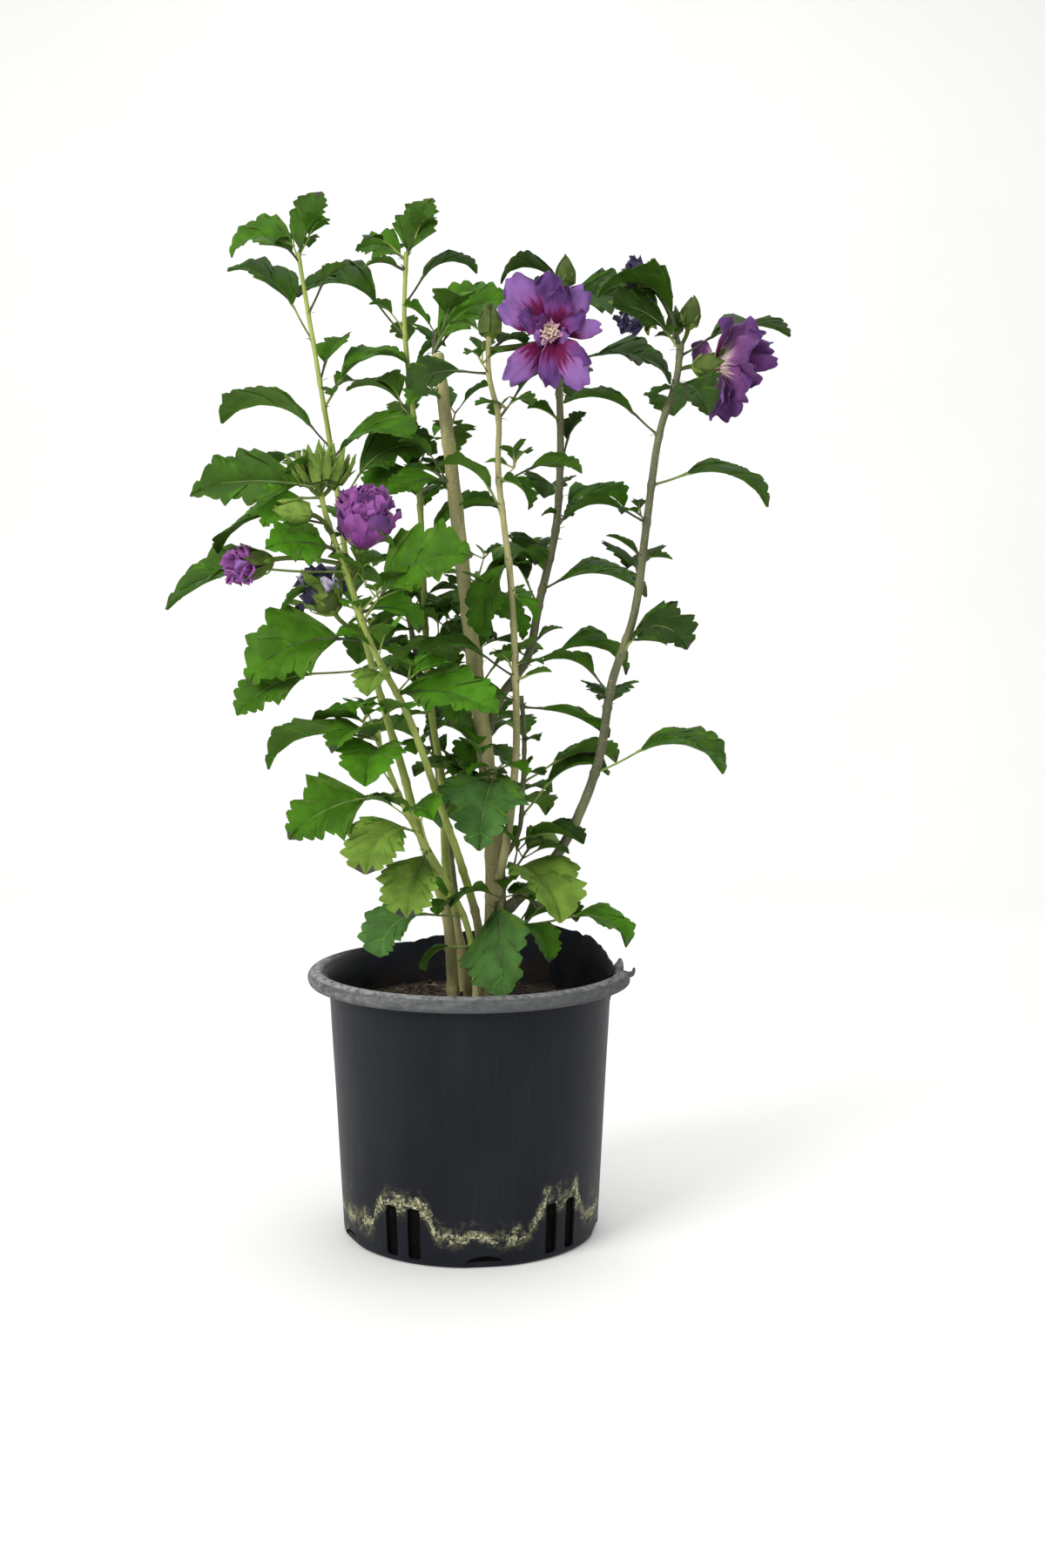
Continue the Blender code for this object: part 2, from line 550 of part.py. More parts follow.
def pot_shape():
    """The pot as a turned shell whose lip changes to a torn edge over one sector."""
    inner_foot = POT_FOOT_RADIUS - POT_WALL
    inner_top = POT_TOP_RADIUS - POT_WALL
    verts, faces = [], []
    for k in range(POT_SEGMENTS):
        azimuth = 360 * k / POT_SEGMENTS
        share, rise = torn(azimuth)
        edge = POT_HEIGHT + rise
        z0 = POT_HEIGHT - LIP_TUBE
        rolled = [(91.4, z0 - 6.3), (97.0, z0 - 5.2), (103.3, z0 - 4.0), (105.0, z0 + 0.6),
                  (102.4, z0 + 4.4), (97.2, z0 + 4.8), (92.4, z0 + 0.2)]
        low = min(edge - 8, z0)
        open_edge = [(91.4, z0 - 12), (92.6, low), (94.3, edge - 3.5), (94.9, edge - 0.4),
                     (94.1, edge), (93.3, edge - 0.6), (91.0, low)]
        ring = [(80.5, 0.0), (POT_FOOT_RADIUS, 4.0), (POT_TOP_RADIUS, 150.0)]
        for (r0, h0), (r1, h1) in zip(rolled, open_edge):
            ring.append((r0 + (r1 - r0) * share, h0 + (h1 - h0) * share))
        ring += [(inner_top, 148.0), (inner_foot, POT_FLOOR)]
        a = math.radians(azimuth)
        verts += [Vector((r * math.cos(a), r * math.sin(a), h)) * MM for r, h in ring]
    n = len(ring)
    for k in range(POT_SEGMENTS):
        j = (k + 1) % POT_SEGMENTS
        for i in range(n - 1):
            faces.append((k * n + i, j * n + i, j * n + i + 1, k * n + i + 1))
    faces.append(tuple(k * n for k in reversed(range(POT_SEGMENTS))))
    faces.append(tuple(k * n + n - 1 for k in range(POT_SEGMENTS)))
    return verts, faces


def box(centre, turn, size):
    """A box, `size` = (radial, across, high), turned about +Z."""
    a = math.radians(turn)
    out = Vector((math.cos(a), math.sin(a), 0))
    across = Vector((-math.sin(a), math.cos(a), 0))
    verts = []
    for dz in (-0.5, 0.5):
        for dx, dy in ((-0.5, -0.5), (0.5, -0.5), (0.5, 0.5), (-0.5, 0.5)):
            verts.append((centre + out * dx * size[0] + across * dy * size[1]
                          + Vector((0, 0, dz * size[2]))) * MM)
    faces = [(0, 3, 2, 1), (4, 5, 6, 7), (0, 1, 5, 4), (1, 2, 6, 5), (2, 3, 7, 6), (3, 0, 4, 7)]
    return verts, faces


def arch(turn):
    """The cutter of one low arched notch in the foot."""
    a = math.radians(turn)
    out = Vector((math.cos(a), math.sin(a), 0))
    across = Vector((-math.sin(a), math.cos(a), 0))
    outline = [(-ARCH_WIDTH / 2, -2), (ARCH_WIDTH / 2, -2)]
    for k in range(7):
        t = math.pi * k / 6
        outline.append((ARCH_WIDTH / 2 * math.cos(t), ARCH_HEIGHT * math.sin(t)))
    verts = []
    for r in (POT_FOOT_RADIUS - POT_WALL - 1.5, POT_FOOT_RADIUS + 8):
        verts += [(out * r + across * x + Vector((0, 0, z))) * MM for x, z in outline]
    n = len(outline)
    faces = [tuple(range(n)), tuple(range(2 * n - 1, n - 1, -1))]
    faces += [(k, k + n, (k + 1) % n + n, (k + 1) % n) for k in range(n)]
    return verts, faces


pot = solid("pot", pot_shape(), PLASTIC)
cutters = bpy.data.collections.new("cutters")
bpy.context.scene.collection.children.link(cutters)
for pair in range(5):
    middle = PAIR_FIRST + 72 * pair
    for sign in (-1, 1):
        turn = middle + sign * SLOT_SPREAD
        where = heading(turn, 0) * POT_FOOT_RADIUS + Vector((0, 0, (SLOT_FOOT + SLOT_TOP) / 2))
        piece = solid("slot", box(where, turn, (8, SLOT_WIDTH, SLOT_TOP - SLOT_FOOT)), PLASTIC)
        bpy.context.scene.collection.objects.unlink(piece)
        cutters.objects.link(piece)
    piece = solid("arch", arch(middle + 36), PLASTIC)
    bpy.context.scene.collection.objects.unlink(piece)
    cutters.objects.link(piece)
apply_boolean(pot, "DIFFERENCE", collection=cutters)


# ---- soil ----------------------------------------------------------------------------
def soil_shape():
    """Potting soil that fills the pot, a little mounded and level round the stems."""
    rng = random.Random(11)
    foot = POT_FOOT_RADIUS - POT_WALL
    slope = (POT_TOP_RADIUS - POT_FOOT_RADIUS) / 146.0
    floor = POT_FLOOR + GAP
    rings = ((foot - 0.6, floor), (foot - 0.5 + slope * (SOIL_EDGE - 4), SOIL_EDGE),
             (70, SOIL_EDGE + 2), (44, SOIL_TOP))
    verts, faces = [], []
    for i, (radius, height) in enumerate(rings):
        for k in range(SOIL_SEGMENTS):
            a = 2 * math.pi * k / SOIL_SEGMENTS
            lump = rng.uniform(-1.2, 1.2) if i in (1, 2) else 0.0
            verts.append(Vector((radius * math.cos(a), radius * math.sin(a), height + lump)) * MM)
    n = SOIL_SEGMENTS
    for i in range(len(rings) - 1):
        for k in range(n):
            j = (k + 1) % n
            faces.append((i * n + k, i * n + j, (i + 1) * n + j, (i + 1) * n + k))
    faces.append(tuple(reversed(range(n))))
    faces.append(tuple((len(rings) - 1) * n + k for k in range(n)))
    return verts, faces


soil = solid("soil", soil_shape(), EARTH)
FOOT = (SOIL_TOP + GAP) * MM

# ---- trunk and boughs ------------------------------------------------------------------
obstacles = {}            # node name -> clash trees


def note(name, shape):
    """Remember a solid for the clash tests."""
    obstacles.setdefault(name, []).append(tree_of(shape))


note("pot", pot_shape())
note("soil", soil_shape())
trunk_line = route(TRUNK)


def trunk_radius(height):
    """The trunk's radius at a height, with its flare at the foot."""
    share = max(0.0, min(1.0, (height - FOOT) / (TRUNK[-1][2] * MM - FOOT)))
    flare = TRUNK_FLARE * max(0.0, 1 - (height - FOOT) / 0.022) ** 2
    return (TRUNK_FOOT + (TRUNK_TIP - TRUNK_FOOT) * share + flare) * MM


def trunk_tube(extra=0.0, sides=8):
    """The trunk, or a fatter copy that cuts its neighbours clear of it."""
    part = [p for p, _ in stretch(trunk_line, FOOT, TRUNK[-1][2] * MM)]
    part.insert(1, point_at(trunk_line, FOOT + 0.012)[0])
    part[-1] = part[-1] + (part[-1] - part[-2]).normalized() * extra * MM
    return tube(part, [trunk_radius(p.z) + extra * MM for p in part], sides, True)


trunk = solid("trunk", trunk_tube(), BARK)
note("trunk", trunk_tube())


def stem_radius(stem, share):
    """Radius of a stem at a share of its way from foot to tip."""
    return (stem[2] + (stem[3] - stem[2]) * share ** 0.85) * MM


def clear_of_trunk(obj, extra=GAP):
    """Cut a limb so that it ends 0.3 mm clear of the trunk."""
    cutter = solid("cutter", trunk_tube(extra), BARK)
    apply_boolean(obj, "DIFFERENCE", cutter=cutter)


shoots = {}               # shoot name -> (centre line, stem shape, material)
for stem in STEMS:
    name, split, foot_radius, tip_radius, guide = stem
    line = route(guide)
    total = len(line) - 1
    rooted = guide[0][2] < SOIL_TOP
    low = FOOT if rooted else line[0].z
    part = stretch(line, low, split * MM)
    shape = tube([p for p, _ in part], [stem_radius(stem, s / total) for _, s in part], 6, rooted)
    limb = solid("bough_" + name, shape, YOUNG if "left" in name else BARK)
    if not rooted:
        clear_of_trunk(limb)
    note("bough_" + name, shape)
    part = stretch(line, (split + GAP) * MM, line[-1].z)
    shape = tube([p for p, _ in part], [stem_radius(stem, s / total) for _, s in part], 5)
    shoots["shoot_" + name] = (line, shape)
    note("shoot_" + name, shape)

thin = route(THIN_STEM)
shape = tube(thin, [(1.4 - 0.4 * i / (len(thin) - 1)) * MM for i in range(len(thin))], 5)
shoots["shoot_centre_thin"] = (thin, shape)
note("shoot_centre_thin", shape)
for name, height, azimuth, rise, length, radius in SPRIGS:
    start = point_at(trunk_line, height * MM)[0]
    ahead = heading(azimuth, rise)
    end = start + ahead * (trunk_radius(height * MM) + length * MM)
    line = [start, start.lerp(end, 0.5), end]
    shape = tube(line, [radius * MM, radius * MM, 0.7 * radius * MM], 5)
    shoots[name] = (line, shape)
    note(name, shape)


def round_leaves(name, count, blade, stalk):
    """Leaf table of a shoot whose leaves follow the golden angle round the stem."""
    rng = random.Random(name)
    line = shoots[name][0]
    low = shoots[name][1][0][0].z / MM
    high = line[-1].z / MM
    table = []
    for k in range(count):
        share = (k + 0.4) / count
        table.append((high - (high - low) * share, 40 + 137.5 * k, stalk * rng.uniform(0.7, 1.2),
                      blade * rng.uniform(0.75, 1.1), rng.uniform(30, 60), rng.uniform(60, 95),
                      rng.uniform(-15, 15)))
    return table


def place_leaf(name, line, row):
    """Try a leaf and small turns of it; give back the first that touches nothing."""
    height, azimuth, stalk, blade, rise, bend, roll = row
    start = point_at(line, height * MM)[0] if line[-1].z > line[0].z else line[-1]
    for turn, lower in ((0, 0), (8, 0), (-8, 0), (0, 10), (0, -10), (16, 5), (-16, 5), (26, 10),
                        (-26, 10), (38, 15), (-38, 15)):
        spec = (azimuth + turn, stalk, blade * (1 - 0.004 * abs(turn)), rise + lower, bend, roll)
        test = tree_of(leaf(start, spec, 0.5, 0.35))
        if not any(test.overlap(other) for key, trees in obstacles.items() if key != name
                   for other in trees):
            if not any(test.overlap(other) for other in obstacles[name][1:]):
                return start, spec
    return None


parts = {}
for name, (line, shape) in shoots.items():
    parts[name] = []
    for row in BLOOMS.get(name, ()):
        start = point_at(line, row[0] * MM)[0]
        azimuth, rise, stalk, face, face_rise, kind, size = row[1:]
        green, colour = bloom(start, (azimuth, rise, stalk, face, face_rise, kind, size))
        for piece in green:
            parts[name].append((piece, YOUNG))
        for piece in colour:
            parts[name].append((piece, PETAL))
        for piece in green[1:] + colour:
            note(name, piece)
tables = dict(LEAVES)
for name, count, blade, stalk in ROUND_SHOOTS:
    tables[name] = round_leaves(name, count, blade, stalk)
for name, table in tables.items():
    line = shoots[name][0]
    for row in table:
        found = place_leaf(name, line, row)
        if found:
            parts[name].append((leaf(*found), GREEN))
            note(name, leaf(found[0], found[1], 0.35, 0.1))

# ---- join each mass ----------------------------------------------------------------------
for name, (line, shape) in shoots.items():
    obj = solid(name, shape, YOUNG)
    if name.startswith("sprig") or name == "shoot_centre_thin":
        clear_of_trunk(obj)
    group = bpy.data.collections.new(name + "_pieces")
    bpy.context.scene.collection.children.link(group)
    for i, (piece, mat) in enumerate(parts[name]):
        item = solid("piece", piece, mat)
        bpy.context.scene.collection.objects.unlink(item)
        group.objects.link(item)
    if parts[name]:
        apply_boolean(obj, "UNION", collection=group)
    if name.startswith("sprig"):
        clear_of_trunk(obj)

for obj in bpy.data.objects:
    obj.data.shade_smooth()
    obj.data.set_sharp_from_angle(angle=math.radians(35))
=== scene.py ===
"""Looks of a rose of Sharon shrub in its black nursery pot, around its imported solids.

World frame in metres, +Z up, +X to the right and +Y to the back.  Tables are in
millimetres, and directions are degrees round +Z from +X.
"""
import math
import random

import bmesh
import bpy
from mathutils import Matrix, Vector, noise
from mathutils.bvhtree import BVHTree


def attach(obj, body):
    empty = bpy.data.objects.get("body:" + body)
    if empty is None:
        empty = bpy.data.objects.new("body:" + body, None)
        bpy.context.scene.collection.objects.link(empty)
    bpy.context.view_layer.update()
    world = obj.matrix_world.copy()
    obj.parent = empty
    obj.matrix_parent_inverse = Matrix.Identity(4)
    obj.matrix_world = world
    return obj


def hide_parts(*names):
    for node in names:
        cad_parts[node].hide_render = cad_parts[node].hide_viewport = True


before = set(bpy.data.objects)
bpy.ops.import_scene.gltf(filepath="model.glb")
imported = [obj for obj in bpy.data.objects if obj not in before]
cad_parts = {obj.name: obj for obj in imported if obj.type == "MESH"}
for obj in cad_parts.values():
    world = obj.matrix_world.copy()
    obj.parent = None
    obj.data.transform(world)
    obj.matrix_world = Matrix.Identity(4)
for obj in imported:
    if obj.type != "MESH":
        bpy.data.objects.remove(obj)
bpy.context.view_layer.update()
MM = 0.001

# ==== nursery pot ==================================================================
# A thin blow-moulded pot of black polyethylene with a rolled lip, five pairs of drain
# slots and five arched notches in its foot.  The lip is torn off at the right and back,
# and lime from the water has dried round the slots.
POT_HEIGHT = 172.0
POT_FOOT_RADIUS = 83.1
POT_TOP_RADIUS = 90.5
POT_WALL = 1.8
POT_FLOOR = 3.5
POT_STEPS = 192           # steps of the turned wall
ROLLED_LIP = ((91.4, 160.7), (97.0, 161.8), (103.3, 163.0), (105.0, 167.6), (102.4, 171.4),
              (97.2, 171.8), (92.4, 167.2))
TORN_EDGE = ((-6, -1), (2, -7), (10, -2), (20, 4), (32, 10), (46, 11), (57, 15),
             (64, 12), (82, 8), (104, 4), (118, 1))
SLOT_SIZE = (10.0, 8.5, 32.0)
SLOT_ROUNDING = 2.2
SLOT_MIDDLE = 20.0
SLOT_SPREAD = 5.5         # half the angle between the two slots of a pair
SLOT_PAIRS = 5
PAIR_FIRST = -46.5        # direction of the first pair
ARCH_WIDTH = 28.0
ARCH_HEIGHT = 8.0
ARCH_OUT = 3.5            # how far outside the foot an arch's cutter stands
CHARCOAL = (0.0066, 0.0080, 0.0122)
WORN_CHARCOAL = (0.0102, 0.0120, 0.0170)
LIP_GREY = (0.195, 0.200, 0.200)
DARK_LIP = (0.062, 0.066, 0.071)
# pale grey of the painted highlight along the top edge of the lip
CREST_HIGHLIGHT = (0.34, 0.345, 0.34)
LIME = (0.46, 0.45, 0.33)
MOSSY_LIME = (0.24, 0.24, 0.10)
DUST = (0.030, 0.023, 0.017)
# scraps of the torn lip: guide points, and the thickness at each end
SCRAPS = ((((100.0, 1, 165.5), (103.5, 4, 165.2), (106.0, 6, 166.3), (106.6, 6, 169.2)), 2.9, 0.6),
          (((94.6, 1, 163), (96.0, 5, 168.0), (97.4, 8, 171.8), (97.8, 10, 174.6)), 5.4, 1.2))


def smooth_line(points, pieces):
    """Points of a smooth line through guide points, by Catmull-Rom."""
    pts = [Vector(p) for p in points]
    pts = [pts[0] * 2 - pts[1]] + pts + [pts[-1] * 2 - pts[-2]]
    line = []
    for i in range(1, len(pts) - 2):
        a, b, c, d = pts[i - 1:i + 3]
        for k in range(pieces):
            t = k / pieces
            line.append(0.5 * ((2 * b) + (c - a) * t + (2 * a - 5 * b + 4 * c - d) * t * t
                               + (3 * b - a - 3 * c + d) * t * t * t))
    line.append(pts[-2].copy())
    return line


def ease(low, high, value):
    """A smooth step from 0 at `low` to 1 at `high`."""
    t = max(0.0, min(1.0, (value - low) / (high - low)))
    return t * t * (3 - 2 * t)


def torn(azimuth):
    """How far the lip is torn off in a direction (0 to 1), and how high its edge stands."""
    a = (azimuth + 120) % 360 - 120
    first, last = TORN_EDGE[0][0], TORN_EDGE[-1][0]
    share = max(0.0, min(1.0, (a - first + 6) / 6, (last + 6 - a) / 6))
    height = TORN_EDGE[0][1] if a < first else TORN_EDGE[-1][1]
    for (a0, h0), (a1, h1) in zip(TORN_EDGE, TORN_EDGE[1:]):
        if a0 <= a <= a1:
            height = h0 + (h1 - h0) * (a - a0) / (a1 - a0)
    return share, height


def pot_profile(azimuth):
    """The pot's section in one direction, from under its middle up, over and down inside."""
    share, rise = torn(azimuth)
    turn = math.radians(azimuth)
    ragged = noise.fractal(Vector((math.cos(turn), math.sin(turn), 0)) * 22, 0.6, 2.2, 4)
    edge = POT_HEIGHT + rise + 1.6 * ragged * share
    low = min(edge - 8, ROLLED_LIP[3][1])
    open_edge = ((91.4, 155.0), (92.6, low), (94.3, edge - 3.5), (94.9, edge - 0.4),
                 (94.3, edge), (93.7, edge - 0.6), (91.0, low))
    rolled = smooth_line([(r, 0, h) for r, h in ROLLED_LIP], 4)
    ripped = smooth_line([(r, 0, h) for r, h in open_edge], 4)
    section = [(0.0, 0.0), (60.0, 0.0), (79.6, 0.0), (81.6, 0.6), (82.7, 1.9),
               (POT_FOOT_RADIUS, 4.0)]
    for k in range(1, 12):
        t = k / 11
        section.append((POT_FOOT_RADIUS + (POT_TOP_RADIUS - POT_FOOT_RADIUS) * t, 4 + 146 * t))
    for a, b in zip(rolled, ripped):
        spot = a.lerp(b, share)
        crease = noise.noise(Vector((math.cos(turn) * 14, math.sin(turn) * 14, spot.z / 9)))
        section.append((spot.x + 0.9 * share * crease, spot.z))
    for k in range(12):
        t = k / 11
        section.append((POT_TOP_RADIUS - POT_WALL - (POT_TOP_RADIUS - POT_FOOT_RADIUS) * t,
                        148 - 144 * t))
    return section + [(79.5, POT_FLOOR), (0.0, POT_FLOOR)]


def put(tree, kind, feeds=(), **settings):
    """Add a shader node, set it up and feed its sockets from values or other sockets."""
    made = tree.nodes.new("ShaderNode" + kind)
    for key, value in settings.items():
        setattr(made, key, value)
    for key, value in dict(feeds).items():
        socket = made.inputs[key]
        if isinstance(value, bpy.types.NodeSocket):
            tree.links.new(value, socket)
        elif socket.type == "RGBA":
            socket.default_value = (*value, 1.0)
        else:
            socket.default_value = value
    return made


def sum_of(operation, *terms):
    """The result of one Math node, whose terms are numbers or, at least the first, sockets."""
    return put(terms[0].id_data, "Math", enumerate(terms), operation=operation).outputs[0]


def times(first, *others):
    """The product of a socket and other sockets or numbers."""
    for other in others:
        first = sum_of("MULTIPLY", first, other)
    return first


def between(value, low, high, start=0.0, end=1.0):
    """A value's smooth passage from `low` to `high`, as a share from `start` to `end`."""
    feeds = {0: value, 1: low, 2: high, 3: start, 4: end}
    return put(value.id_data, "MapRange", feeds, interpolation_type="SMOOTHSTEP").outputs[0]


def blend(share, first, second):
    """One colour laid over another by a share."""
    feeds = {0: share, 6: first, 7: second}
    return put(share.id_data, "Mix", feeds, data_type="RGBA").outputs[2]


def speckle(vector, scale, detail=3.0, rough=0.55):
    """Noise from 0 to 1 at a scale per metre."""
    feeds = {"Vector": vector, "Scale": scale, "Detail": detail, "Roughness": rough}
    return put(vector.id_data, "TexNoise", feeds).outputs["Fac"]


def drawn_out(vector, *scales):
    """Coordinates stretched or squeezed by a scale for each axis."""
    return put(vector.id_data, "VectorMath", {0: vector, 1: scales},
               operation="MULTIPLY").outputs[0]


def place_in(tree):
    """The place on the object."""
    return put(tree, "TexCoord").outputs["Object"]


def parts_of(vector):
    """The three parts of a vector."""
    return put(vector.id_data, "SeparateXYZ", {0: vector}).outputs


def two_tone_group():
    """The shared surface effect: patches of two colours, with a fine grain for the bump.

    Grain is the number of patches to a metre and Stretch draws them out along +Z.
    """
    tree = bpy.data.node_groups.new("patchy_surface", "ShaderNodeTree")
    for name, way, kind in (("Light", "INPUT", "Color"), ("Dark", "INPUT", "Color"),
                            ("Grain", "INPUT", "Float"), ("Stretch", "INPUT", "Float"),
                            ("Color", "OUTPUT", "Color"), ("Patches", "OUTPUT", "Float"),
                            ("Height", "OUTPUT", "Float")):
        tree.interface.new_socket(name=name, in_out=way, socket_type="NodeSocket" + kind)
    given = tree.nodes.new("NodeGroupInput").outputs
    x, y, z = parts_of(place_in(tree))
    low = sum_of("DIVIDE", z, given["Stretch"])
    drawn = put(tree, "CombineXYZ", {0: x, 1: y, 2: low}).outputs[0]
    patches = speckle(drawn, given["Grain"], 4.0)
    sharp = between(patches, 0.36, 0.66)
    fine = speckle(drawn, times(given["Grain"], 7.0), 5.0, 0.6)
    result = tree.nodes.new("NodeGroupOutput").inputs
    tree.links.new(blend(sharp, given["Dark"], given["Light"]), result["Color"])
    tree.links.new(sharp, result["Patches"])
    tree.links.new(sum_of("MULTIPLY_ADD", fine, 0.6, patches), result["Height"])
    return tree


PATCHY = two_tone_group()


def surface(name, light, dark, grain, roughness, bump, stretch=1.0, specular=0.5):
    """A material of patchy colour: (material, its tree, shader, patch node).

    `roughness` is its range over the patches and `bump` the relief in metres.
    """
    mat = bpy.data.materials.new(name)
    mat.use_nodes = True
    tree = mat.node_tree
    shader = tree.nodes["Principled BSDF"]
    shader.inputs["Specular IOR Level"].default_value = specular
    patchy = tree.nodes.new("ShaderNodeGroup")
    patchy.node_tree = PATCHY
    patchy.inputs["Light"].default_value = (*light, 1.0)
    patchy.inputs["Dark"].default_value = (*dark, 1.0)
    patchy.inputs["Grain"].default_value = grain
    patchy.inputs["Stretch"].default_value = stretch
    tree.links.new(patchy.outputs["Color"], shader.inputs["Base Color"])
    rough = between(patchy.outputs["Patches"], 0.0, 1.0, *roughness)
    tree.links.new(rough, shader.inputs["Roughness"])
    relief = put(tree, "Bump", {"Height": patchy.outputs["Height"], "Distance": bump})
    tree.links.new(relief.outputs["Normal"], shader.inputs["Normal"])
    return mat, tree, shader, patchy


def finish(*measures, **others):
    """A plain patchy material."""
    return surface(*measures, **others)[0]


def pot_plastic():
    """Matt black plastic, worn grey on the lip, with painted light at its left and a painted
    highlight on its top edge, lime round the slots and dust inside.
    """
    mat, tree, shader, patchy = surface("worn_black_plastic", WORN_CHARCOAL, CHARCOAL, 22.0,
                                        (0.42, 0.60), 0.00025, 2.5, 0.12)
    coords = place_in(tree)
    x, y, z = parts_of(coords)
    radius = sum_of("SQRT", sum_of("MULTIPLY_ADD", y, y, times(x, x)))
    azimuth = sum_of("DEGREES", sum_of("ARCTAN2", y, x))
    # the way round from the nearest pair of slots, in degrees
    step = 360.0 / SLOT_PAIRS
    shifted = sum_of("ADD", azimuth, 360.0 - PAIR_FIRST + step / 2)
    away = sum_of("ABSOLUTE", sum_of("SUBTRACT", sum_of("MODULO", shifted, step), step / 2))
    wander = speckle(coords, 55.0, 3.0)
    frayed = speckle(coords, 210.0, 5.0, 0.75)
    # the tide line of the lime, and a crust thick in some places and almost gone in others
    tide = between(away, 8.0, 17.5, 0.0380, 0.0195)
    tide = sum_of("MULTIPLY_ADD", wander, 0.022, sum_of("ADD", tide, -0.0110))
    tide = sum_of("MULTIPLY_ADD", frayed, 0.009, sum_of("ADD", tide, -0.0045))
    off = sum_of("ABSOLUTE", sum_of("SUBTRACT", z, tide))
    width = between(speckle(coords, 90.0, 4.0, 0.6), 0.43, 0.59, 0.0001, 0.0070)
    steep = times(between(away, 8.0, 10.0), between(away, 17.0, 14.0, 0.0, 0.0035))
    line = between(sum_of("DIVIDE", off, sum_of("ADD", width, steep)), 1.0, 0.25)
    grains = speckle(coords, 620.0, 5.0, 0.75)
    crust = times(line, between(grains, 0.42, 0.56))
    haze = times(between(off, 0.0105, 0.0005), between(frayed, 0.44, 0.62, 0.0, 0.36))
    scuffed = times(between(z, 0.052, 0.030),
                    between(sum_of("ABSOLUTE", x), 0.070, 0.082, 0.0, 0.32))
    below = sum_of("MAXIMUM", haze, times(scuffed, between(frayed, 0.50, 0.62)))
    crust = times(sum_of("MAXIMUM", crust, below), between(radius, 0.0826, 0.0832))
    scratches = between(speckle(drawn_out(coords, 420.0, 420.0, 26.0), 1.0, 2.0), 0.60, 0.72)
    # the lip is worn pale in patches and painted lighter at the left where the light falls, with a
    # painted highlight along its top edge
    lip = times(between(radius, 0.0925, 0.0965), between(z, 0.159, 0.162))
    scuffs = between(speckle(drawn_out(coords, 1.0, 1.0, 2.5), 120.0, 6.0, 0.70), 0.30, 0.72)
    worn_front = between(y, 0.055, 0.0, 0.0, 1.0)
    # painted light: the worn grey is stronger towards the left, where the light comes from
    lit_left = between(x, 0.0, -0.09, 0.45, 1.0)
    rubbed_and_lit = times(scuffs, between(z, 0.1605, 0.1680, 0.30, 1.0), worn_front, lit_left)
    rim = blend(between(y, 0.075, 0.020), CHARCOAL, DARK_LIP)
    # painted highlight: a thin pale line along the top edge of the lip, at its left and front
    crest_highlight = times(between(z, 0.1700, 0.1714), between(frayed, 0.40, 0.56), lit_left, worn_front)
    rim = blend(crest_highlight, blend(rubbed_and_lit, rim, LIP_GREY), CREST_HIGHLIGHT)
    # the inner face is the part of the wall nearer the middle than its own middle line
    wall = sum_of("MULTIPLY_ADD", z, 0.0507, 0.0829 - POT_WALL * MM / 2)
    inside = between(sum_of("SUBTRACT", radius, wall), 0.0003, -0.0003)
    dusty = times(inside, between(z, 0.10, 0.12), between(wander, 0.40, 0.68, 0.0, 0.9))
    chalk = blend(between(grains, 0.46, 0.62), MOSSY_LIME, LIME)
    colour = blend(times(scratches, 0.018), patchy.outputs["Color"], LIP_GREY)
    for share, over in ((lip, rim), (dusty, DUST), (crust, chalk)):
        colour = blend(share, colour, over)
    tree.links.new(colour, shader.inputs["Base Color"])
    chalky = sum_of("MAXIMUM", sum_of("MAXIMUM", crust, dusty), lip)
    tree.links.new(between(chalky, 0.0, 1.0, 0.46, 0.85), shader.inputs["Roughness"])
    return mat


def heading(azimuth, rise):
    """Unit vector at a direction round +Z and a rise over the level."""
    a = math.radians(azimuth)
    e = math.radians(rise)
    return Vector((math.cos(a) * math.cos(e), math.sin(a) * math.cos(e), math.sin(e)))


def piece(name, shape, finishes, slot, *nodes):
    """Make a finished bmesh a piece of the plant that stands for its CAD nodes."""
    for edge in shape.edges:
        edge.smooth = edge.calc_face_angle(0.0) < 0.9
    for face in shape.faces:
        face.smooth = True
    mesh = bpy.data.meshes.new(name)
    shape.to_mesh(mesh)
    shape.free()
    for mat in finishes:
        mesh.materials.append(mat)
    made = bpy.data.objects.new(name, mesh)
    bpy.context.scene.collection.objects.link(made)
    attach(made, "root")
    if nodes:
        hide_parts(*nodes)
    return made


def grown_points(shape, operator, **how):
    """What an extrusion adds to a bmesh: its new points, and the edges between them."""
    grown = operator(shape, **how)["geom"]
    points = [g for g in grown if isinstance(g, bmesh.types.BMVert)]
    kept = set(points)
    return points, [g for g in grown if isinstance(g, bmesh.types.BMEdge)
                    and kept.issuperset(g.verts)]


def limb(line, radii, sides):
    """A closed tapering limb, drawn on ring by ring from a circle along its line."""
    shape = bmesh.new()
    spread = line[-1] - line[0]
    least = min(range(3), key=lambda k: abs(spread[k]))
    guide = Vector([float(k == least) for k in range(3)])
    places = []
    for i, spot in enumerate(line):
        ahead = (line[min(i + 1, len(line) - 1)] - line[max(i - 1, 0)]).normalized()
        out = ahead.cross(guide).normalized()
        turn = Matrix((out, ahead.cross(out), ahead)).transposed().to_4x4()
        places.append(Matrix.Translation(spot) @ turn @ Matrix.Scale(radii[i], 4))
    bmesh.ops.create_circle(shape, cap_ends=True, segments=sides, radius=1.0,
                            matrix=places[0])
    edges = list(shape.edges)
    for before, after in zip(places, places[1:]):
        ring, edges = grown_points(shape, bmesh.ops.extrude_edge_only, edges=edges)
        bmesh.ops.transform(shape, matrix=after @ before.inverted(), verts=ring)
    bmesh.ops.edgeloop_fill(shape, edges=edges)
    bmesh.ops.recalc_face_normals(shape, faces=shape.faces)
    return shape


